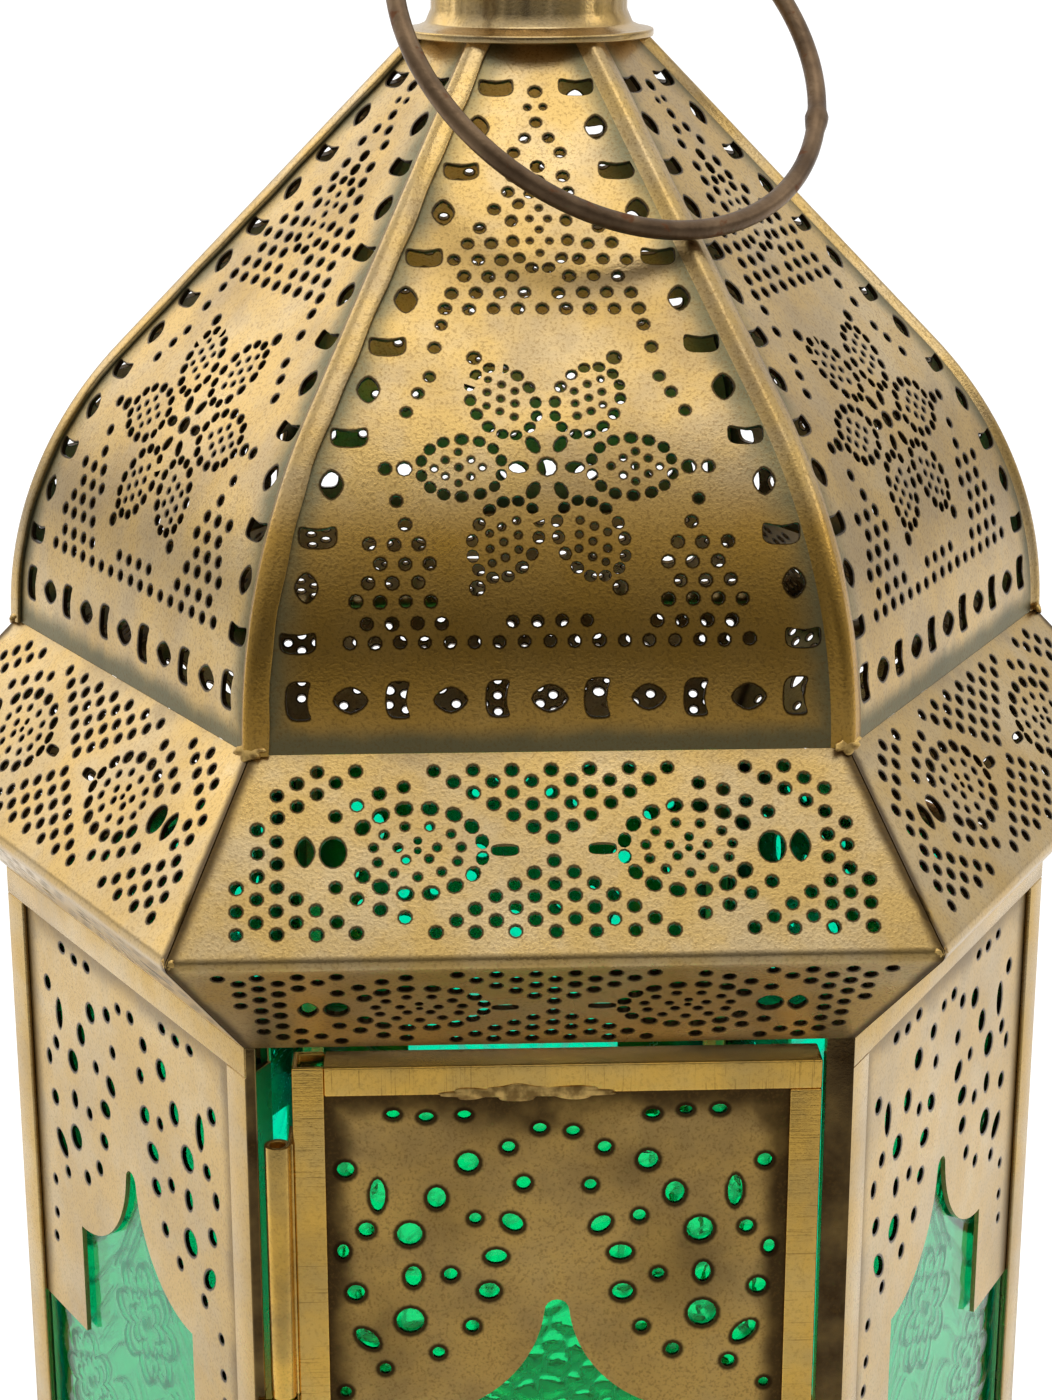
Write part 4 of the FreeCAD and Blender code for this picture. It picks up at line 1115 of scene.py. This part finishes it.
def pebbles(x, drop):
    """Lines between rounded cells, found halfway between a point's two nearest cell centres."""
    column, row = np.floor(x / PEBBLE), np.floor(drop / PEBBLE)
    first = np.full_like(x, PEBBLE * 9)
    second = first.copy()
    for right in (-1, 0, 1):
        for down in (-1, 0, 1):
            i, j = column + right, row + down
            cell_x = (i + 0.5 + PEBBLE_JITTER * np.sin(12.9 * i + 78.2 * j)) * PEBBLE
            cell_y = (j + 0.5 + PEBBLE_JITTER * np.sin(39.3 * i + 11.1 * j)) * PEBBLE
            away = np.hypot(x - cell_x, drop - cell_y)
            second = np.minimum(second, np.maximum(first, away))
            first = np.minimum(first, away)
    return ridge(second - first, PEBBLE_LINE * PEBBLE)


print("rosettes", len(ROSETTES), "and pebbles of", PEBBLE, "mm")

# %% [markdown]
# A pane starts as a fine grid, is raised by its pattern and extruded to its thickness. The relief is real
# geometry, because it bends what is seen through the glass. Near the border it fades out, where the frame
# holds the pane.

# %% Panes
PANE_FRONT, PANE_BACK = -BODY + 2 * GAUGE + 0.42, -BODY + 2 * GAUGE + 2.38
PANE_STEP, BORDER_FADE, PANE_SEAT, PANE_SHARP = 0.48, 3.0, GAUGE + 0.02, math.radians(60)


def pane(name, left, right, low, high, frame_top, middle, pressed, lift):
    columns, rows = int((right - left) / PANE_STEP), int((high - low) / PANE_STEP)
    bpy.ops.object.select_all(action="DESELECT")
    bpy.ops.mesh.primitive_grid_add(x_subdivisions=columns, y_subdivisions=rows, size=1)
    item = bpy.context.active_object
    item.name = name
    mesh = item.data
    grid = places(mesh)
    x = (left + right) / 2 + grid[:, 0] * (right - left)
    z = (low + high) / 2 + grid[:, 1] * (high - low)
    to_border = np.minimum.reduce([x - left, right - x, z - low, high - z])
    lines = pressed(x - middle, frame_top - z) * np.clip(to_border / BORDER_FADE, 0, 1)
    mark(mesh, "line", lines)
    raised = np.stack([x, PANE_FRONT - lines * lift, z], -1) * MM
    mesh.vertices.foreach_set("co", raised.ravel())
    mesh.update()
    only(item)
    bpy.ops.object.mode_set(mode="EDIT")
    bpy.ops.mesh.select_all(action="SELECT")
    bpy.ops.mesh.extrude_region_move(TRANSFORM_OT_translate={"value": (0, 0, 0)})
    bpy.ops.object.mode_set(mode="OBJECT")
    solid = places(mesh)
    solid[[v.select for v in mesh.vertices], 1] = PANE_BACK * MM
    mesh.vertices.foreach_set("co", solid.ravel())
    mesh.update()
    bpy.ops.object.mode_set(mode="EDIT")
    bpy.ops.mesh.select_all(action="SELECT")
    bpy.ops.mesh.normals_make_consistent(inside=False)
    bpy.ops.object.mode_set(mode="OBJECT")
    bpy.ops.object.shade_smooth_by_angle(angle=PANE_SHARP)
    return item


wall_pane = pane("wall_pane", -HALF_PANE, HALF_PANE, WALL_BASE + PANE_SEAT, PANE_TOP,
                 WALL_TOP, 0.0, leaves, lift=0.05)
wall_panes = set_round(wall_pane, WALLS, "wall_pane", "wall_glass", GLASS, "green_glass")
door_pane = pane("door_pane", DOOR_IN_LEFT, DOOR_IN_RIGHT, DOOR_BASE + PANE_SEAT, DOOR_IN_TOP,
                 DOOR_TOP, door_middle, pebbles, lift=0.26)
seat(door_pane, "door", BRIGHTENED_DOOR_GLASS, "green_glass", "door_glass")
print("panes:", len(wall_panes), "of", len(wall_panes[0].data.polygons), "faces and the door's")

# %% [markdown]
# Folded strips, posts and small fittings keep the shapes of their nodes, because the CAD model already
# has them right. What it lacks is a broken edge, which filed metal has and which catches the light. A
# node's mesh is loose triangles, so a copy is merged and freed of them before its edges are bevelled.

# %% Softened copies of nodes
WELD_WITHIN, FLAT_WITHIN = 0.000002, math.radians(1)
BEVEL_FROM, SMOOTH_BELOW = math.radians(35), math.radians(40)


def softened(node, name, body, finish, width):
    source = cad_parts[node]
    item = shown(name, source.data.copy())
    item.matrix_world = source.matrix_world
    only(item)
    bpy.ops.object.mode_set(mode="EDIT")
    bpy.ops.mesh.select_all(action="SELECT")
    bpy.ops.mesh.remove_doubles(threshold=WELD_WITHIN)
    bpy.ops.mesh.dissolve_limited(angle_limit=FLAT_WITHIN)
    bpy.ops.object.mode_set(mode="OBJECT")
    item.data.normals_split_custom_set([(0, 0, 0)] * len(item.data.loops))
    bevel = item.modifiers.new("broken edge", "BEVEL")
    bevel.width = width * MM
    bevel.segments = 2
    bevel.limit_method = "ANGLE"
    bevel.angle_limit = BEVEL_FROM
    bevel.use_clamp_overlap = True
    bpy.ops.object.modifier_apply(modifier=bevel.name)
    bpy.ops.object.shade_smooth_by_angle(angle=SMOOTH_BELOW)
    return seat(item, body, finish, "antique_brass", node)


print("edges sharper than", round(math.degrees(BEVEL_FROM)), "degrees are broken")

# %% [markdown]
# Posts and foot. The two posts beside the door get painted shade on the faces that look towards it, so
# the shade follows the way each point faces. The foot's panels are plain sheet.

# %% Posts and foot
FACING_FROM, FACING_FADE = 0.6, 0.25
for number in FACES:
    by_door = number in (1, 6)
    node, name = "corner_post_%d" % number, "post_%d" % number
    post = softened(node, name, "housing", SHADED_JAMB if by_door else STRIP, 0.18)
    if by_door:
        to_door = np.array([-v.normal.y for v in post.data.vertices])
        # painted shade on the faces that look towards the door
        mark(post.data, "soot", np.clip((to_door - FACING_FROM) / FACING_FADE, 0, 1))
    softened("foot_panel_%d" % number, "foot_%d" % number, "housing", SHEET, 0.2)
print("posts and foot panels", len(FACES), "each")

# %% [markdown]
# Strips and small fittings. The door's stiles and rails are worn bright, the collar, cap and eye are spun,
# and the hinge is a rolled tube on a wire. They need nothing more than their softened copies, so a list
# of them is enough, with a wider broken edge where hands touch.

# %% Strips and fittings
FITTINGS = [  # node, name, body, finish, width of the broken edge
    ("sill_ring", "sill", "housing", STRIP, 0.18),
    ("top_rim", "rim", "housing", STRIP, 0.18),
    ("floor_plate", "floor_sheet", "housing", WAXED, 0.2),
    ("candle_cup", "cup", "housing", WAXED, 0.15),
    ("neck_collar", "collar", "housing", SPUN, 0.2),
    ("cap", "cap_spun", "housing", SPUN, 0.25),
    ("eye", "eye_stud_piece", "housing", SPUN, 0.3),
    ("fixed_hinge_leaf", "hinge_fixed", "housing", TUBE, 0.1),
    ("hinge_pin", "hinge_wire", "housing", WIRE, 0.15),
    ("turn_rivet", "rivet", "housing", SPUN, 0.15),
    ("turn_button", "button", "turn_button", STRIP, 0.15),
    ("door_hinge_stile", "stile_hinge", "door", STILE, 0.25),
    ("door_latch_stile", "stile_latch", "door", STILE, 0.25),
    ("door_top_rail", "rail_top", "door", RAIL, 0.25),
    ("door_bottom_rail", "rail_bottom", "door", RAIL, 0.25),
    ("door_hinge_leaf", "hinge_rolled", "door", TUBE, 0.1)]
for fitting in FITTINGS:
    softened(*fitting)
print("fittings", len(FITTINGS))

# %% [markdown]
# The ring handle is bent from one length of wire, butted and welded, so it carries a small collar of
# weld. A torus is the start, and its points are moved out round the weld. The ring hangs from its eye and
# leans on a rib, so its lean follows from where the rib's line is.

# %% Ring handle
EYE_LEVEL, RING, WIRE_RADIUS, RIB_REST = CROWN + 20.8, 26.2, 1.12, 1.3
RING_WAY, WELD_AT = math.radians(-60), math.radians(60)
WELD_HIGH, WELD_LONG, WIRE_SHARE = 0.3, 0.9, 0.97
bpy.ops.object.select_all(action="DESELECT")
bpy.ops.mesh.primitive_torus_add(
    major_radius=RING * MM, minor_radius=WIRE_RADIUS * MM, major_segments=160, minor_segments=20)
ring = bpy.context.active_object
ring.name = "ring_wire_loop"
for vertex in ring.data.vertices:
    t = math.atan2(vertex.co.y, vertex.co.x)
    core = Vector((math.cos(t) * RING * MM, math.sin(t) * RING * MM, 0))
    swollen = WIRE_SHARE + WELD_HIGH * math.exp(-((t - WELD_AT) * RING / WELD_LONG) ** 2)
    vertex.co = core + (vertex.co - core) * swollen
crown_out = dome_out(DOME_RUN)
rib_way = Vector(((TANGENT_OUT - crown_out) / C30, TANGENT_LEVEL - (CROWN - DOME_BASE))).normalized()
rib_normal = Vector((-rib_way.y, rib_way.x))
eye_above = rib_normal.dot(Vector((-crown_out / C30, EYE_LEVEL - CROWN)))
rest_gap = RIB_REST + GAUGE / C30
lean = math.acos((rest_gap - eye_above) / (2 * RING)) - math.atan2(rib_normal.y, rib_normal.x)
outward = Vector((math.cos(RING_WAY), math.sin(RING_WAY), 0))
upward = Vector((0, 0, 1))
hang = outward * math.cos(lean) - upward * math.sin(lean)
ring_axis = outward * math.sin(lean) + upward * math.cos(lean)
hung = Matrix((hang, ring_axis.cross(hang), ring_axis)).transposed().to_4x4()
hung.translation = (upward * EYE_LEVEL + hang * RING) * MM
ring.data.transform(hung)
only(ring)
bpy.ops.object.shade_smooth()
seat(ring, "ring_handle", WIRE, "ring_wire", "ring_handle")
print("ring leans", round(math.degrees(lean), 2), "degrees")

# %% [markdown]
# Solder. The maker tacked the ribs to the cornice and the cornice's corners together with small drops,
# and ran a smear along the door's top rail. A drop is a ball pressed flat and made lumpy, and set on its
# seam. The lumps come from sines that use the drop's own size, so no two kinds look alike.

# %% Solder drops
SEAMS = [  # name, distance out, level, seat (out, up, tilt), size (wide, long, high)
    ("rib", DOME, DOME_BASE, (-0.1, 0.5, 0.7), (2.2, 3.4, 0.55)),
    ("brow", FOLD, FOLD_LEVEL, (-1.0, 0.3, 0.6), (1.2, 1.6, 0.35))]
SMEARS = ((-9.0, 7.0, 1.3), (-4.5, 8.0, 2.0), (1.5, 9.0, 1.5))
SMEAR_DROP, SMEAR_SUNK, SMEAR_HIGH = 3.3, 0.05, 0.28


def solder_drop(name, body, place, normal, wide, long, high):
    bpy.ops.object.select_all(action="DESELECT")
    bpy.ops.mesh.primitive_ico_sphere_add(subdivisions=4, radius=1)
    item = bpy.context.active_object
    item.name = name
    for vertex in item.data.vertices:
        c = vertex.co
        lump = 1 + 0.22 * math.sin(5 * c.x + wide * 7) * math.cos(4 * c.y + long * 5)
        lump += 0.08 * math.sin(11 * c.y)
        vertex.co = Vector((c.x * long / 2 * lump, c.y * wide / 2 * lump, c.z * high))
    laid = Vector(normal).to_track_quat("Z", "Y").to_matrix().to_4x4()
    laid.translation = Vector(place)
    item.data.transform(Matrix.Scale(MM, 4) @ laid)
    bpy.ops.object.shade_smooth()
    return seat(item, body, SOLDER, "antique_brass")


for number, degrees in FACES.items():
    corner = math.radians(degrees - 60)
    outward = Vector((math.cos(corner), math.sin(corner), 0))
    for kind, reach, level, (out, up, tilt), size in SEAMS:
        seam = outward * (reach / C30 + out) + upward * (level + up)
        solder_drop("solder_%s_%d" % (kind, number), "housing", seam, outward + upward * tilt, *size)
for number, (across, long, wide) in enumerate(SMEARS, 1):
    smear = (door_middle + across, -BODY + SMEAR_SUNK, DOOR_TOP - SMEAR_DROP)
    solder_drop("solder_smear_%d" % number, "door", smear, (0, -1, 0), wide, long, SMEAR_HIGH)
print("solder drops", len(SEAMS) * len(FACES) + len(SMEARS))

# %% [markdown]
# The floor. The lantern stands on pale paper that runs on past the picture, and behind the lantern the
# paper is lit to white. A lamp for that would also light the brass, so the paper glows a little instead,
# more and more from front to back.

# %% Floor
FLOOR_SIZE, SWEEP_FROM, SWEEP_TO = 60, -0.22, 0.08
PAPER, UNLIT, LIT = (0.52, 0.52, 0.52, 1), (0.0, 0.0, 0.0, 1), (0.66, 0.66, 0.66, 1)
bpy.ops.object.select_all(action="DESELECT")
bpy.ops.mesh.primitive_plane_add(size=FLOOR_SIZE, location=(0, 0, 0))
floor = bpy.context.active_object
floor.name = "pale_floor"
FLOOR, floor_start, floor_place = new_finish("pale_floor_paper")
depth = floor_start.node("ShaderNodeSeparateXYZ", {}, {"Vector": floor_place}, out="Y")
close_finish(floor_start, {
    "Base Color": PAPER, "Roughness": 0.9, "Specular IOR Level": 0.1,
    "Emission Color": depth.step(SWEEP_FROM, SWEEP_TO).mix(UNLIT, LIT), "Emission Strength": 1.0})
floor.data.materials.append(FLOOR)
print("floor is", FLOOR_SIZE, "m wide and lit from", SWEEP_FROM, "to", SWEEP_TO, "m")

# %% [markdown]
# The world. Metal shows what is round it, so the room decides its tone: bright above and behind, and dark
# on the camera's side. The camera itself sees a pale backdrop in every direction, so that a view from
# behind the lantern has no dark wall in it.

# %% World
ROOM_DARK, ROOM_BRIGHT, BACKDROP = (0.05, 0.047, 0.042, 1), (1.0, 1.0, 1.0, 1), (0.80, 0.80, 0.80, 1)
ROOM_LIGHT, DARK_BELOW, BRIGHT_ABOVE = 1.08, -0.45, 0.95
if bpy.context.scene.world is None:
    bpy.context.scene.world = bpy.data.worlds.new("studio")
world = bpy.context.scene.world
world.use_nodes = True
world.node_tree.nodes.clear()
sky = Tone(world.node_tree)
direction = sky.node("ShaderNodeTexCoord", out="Generated")
back = sky.node("ShaderNodeSeparateXYZ", {}, {"Vector": direction}, out="Y")
rise = sky.node("ShaderNodeSeparateXYZ", {}, {"Vector": direction}, out="Z")
glow = (back * 0.5 + rise).step(DARK_BELOW, BRIGHT_ABOVE).mix(ROOM_DARK, ROOM_BRIGHT)
glow = sky.node("ShaderNodeLightPath", out="Is Camera Ray").mix(glow, BACKDROP)
room = sky.node("ShaderNodeBackground", {}, {"Color": glow, "Strength": ROOM_LIGHT}, out="Background")
world_end = world.node_tree.nodes.new("ShaderNodeOutputWorld")
world.node_tree.links.new(room.port, world_end.inputs["Surface"])
print("world has", len(world.node_tree.nodes), "nodes")

# %% [markdown]
# The lights. Large soft lamps from the left, from above and from the right give the satin metal its wide,
# quiet highlights. A faint one inside stands for the light that the glass lets in, which the dark chamber
# lacks.

# %% Lights
LAMPS = {  # place, aim and size in metres, power in watts
    "key_left": ((-1.0, 0.6, 0.8), (0, 0, 0.15), 0.9, 2.0),
    "top": ((0.05, -0.25, 1.3), (0, 0, 0.1), 0.8, 1.6),
    "right": ((1.1, -0.1, 0.8), (0, 0, 0.15), 0.4, 0.7),
    "chamber": ((0, 0, 0.07), (0, 0, 0), 0.05, 0.06)}
for name, (place, aim, size, power) in LAMPS.items():
    lamp = bpy.data.lights.new(name, "AREA")
    lamp.shape = "DISK"
    lamp.size = size
    lamp.energy = power
    light = shown(name, lamp)
    light.location = place
    light.rotation_mode = "QUATERNION"
    light.rotation_quaternion = (Vector(aim) - Vector(place)).to_track_quat("-Z", "Y")
print("lights", list(LAMPS))

# %% [markdown]
# The camera stands a little left of the middle, above the lantern's crown, and looks down at it. It could
# be turned by hand until the picture looks right, but a wrong lens can't be mended that way, so its
# place, pitch and lens were fitted together to the picture's own perspective.

# %% Camera
CAMERA_AT = Vector((-14.3, -340.2, DOME_BASE + 94.4))
HEADING, PITCH_DOWN, LENS, SENSOR = (0.041, 0.999), math.radians(17.25), 72.97, 36
camera_data = bpy.data.cameras.new("camera")
camera_data.sensor_width = SENSOR
camera_data.lens = LENS
camera_data.clip_start, camera_data.clip_end = 0.01, 100
camera = shown("camera", camera_data)
camera.location = CAMERA_AT * MM
level = math.cos(PITCH_DOWN)
look = Vector((HEADING[0] * level, HEADING[1] * level, -math.sin(PITCH_DOWN)))
camera.rotation_mode = "QUATERNION"
camera.rotation_quaternion = look.to_track_quat("-Z", "Y")
bpy.context.scene.camera = camera
bpy.context.scene.view_settings.view_transform = "Standard"
print("camera at", [round(value, 1) for value in CAMERA_AT], "mm")

# %% [markdown]
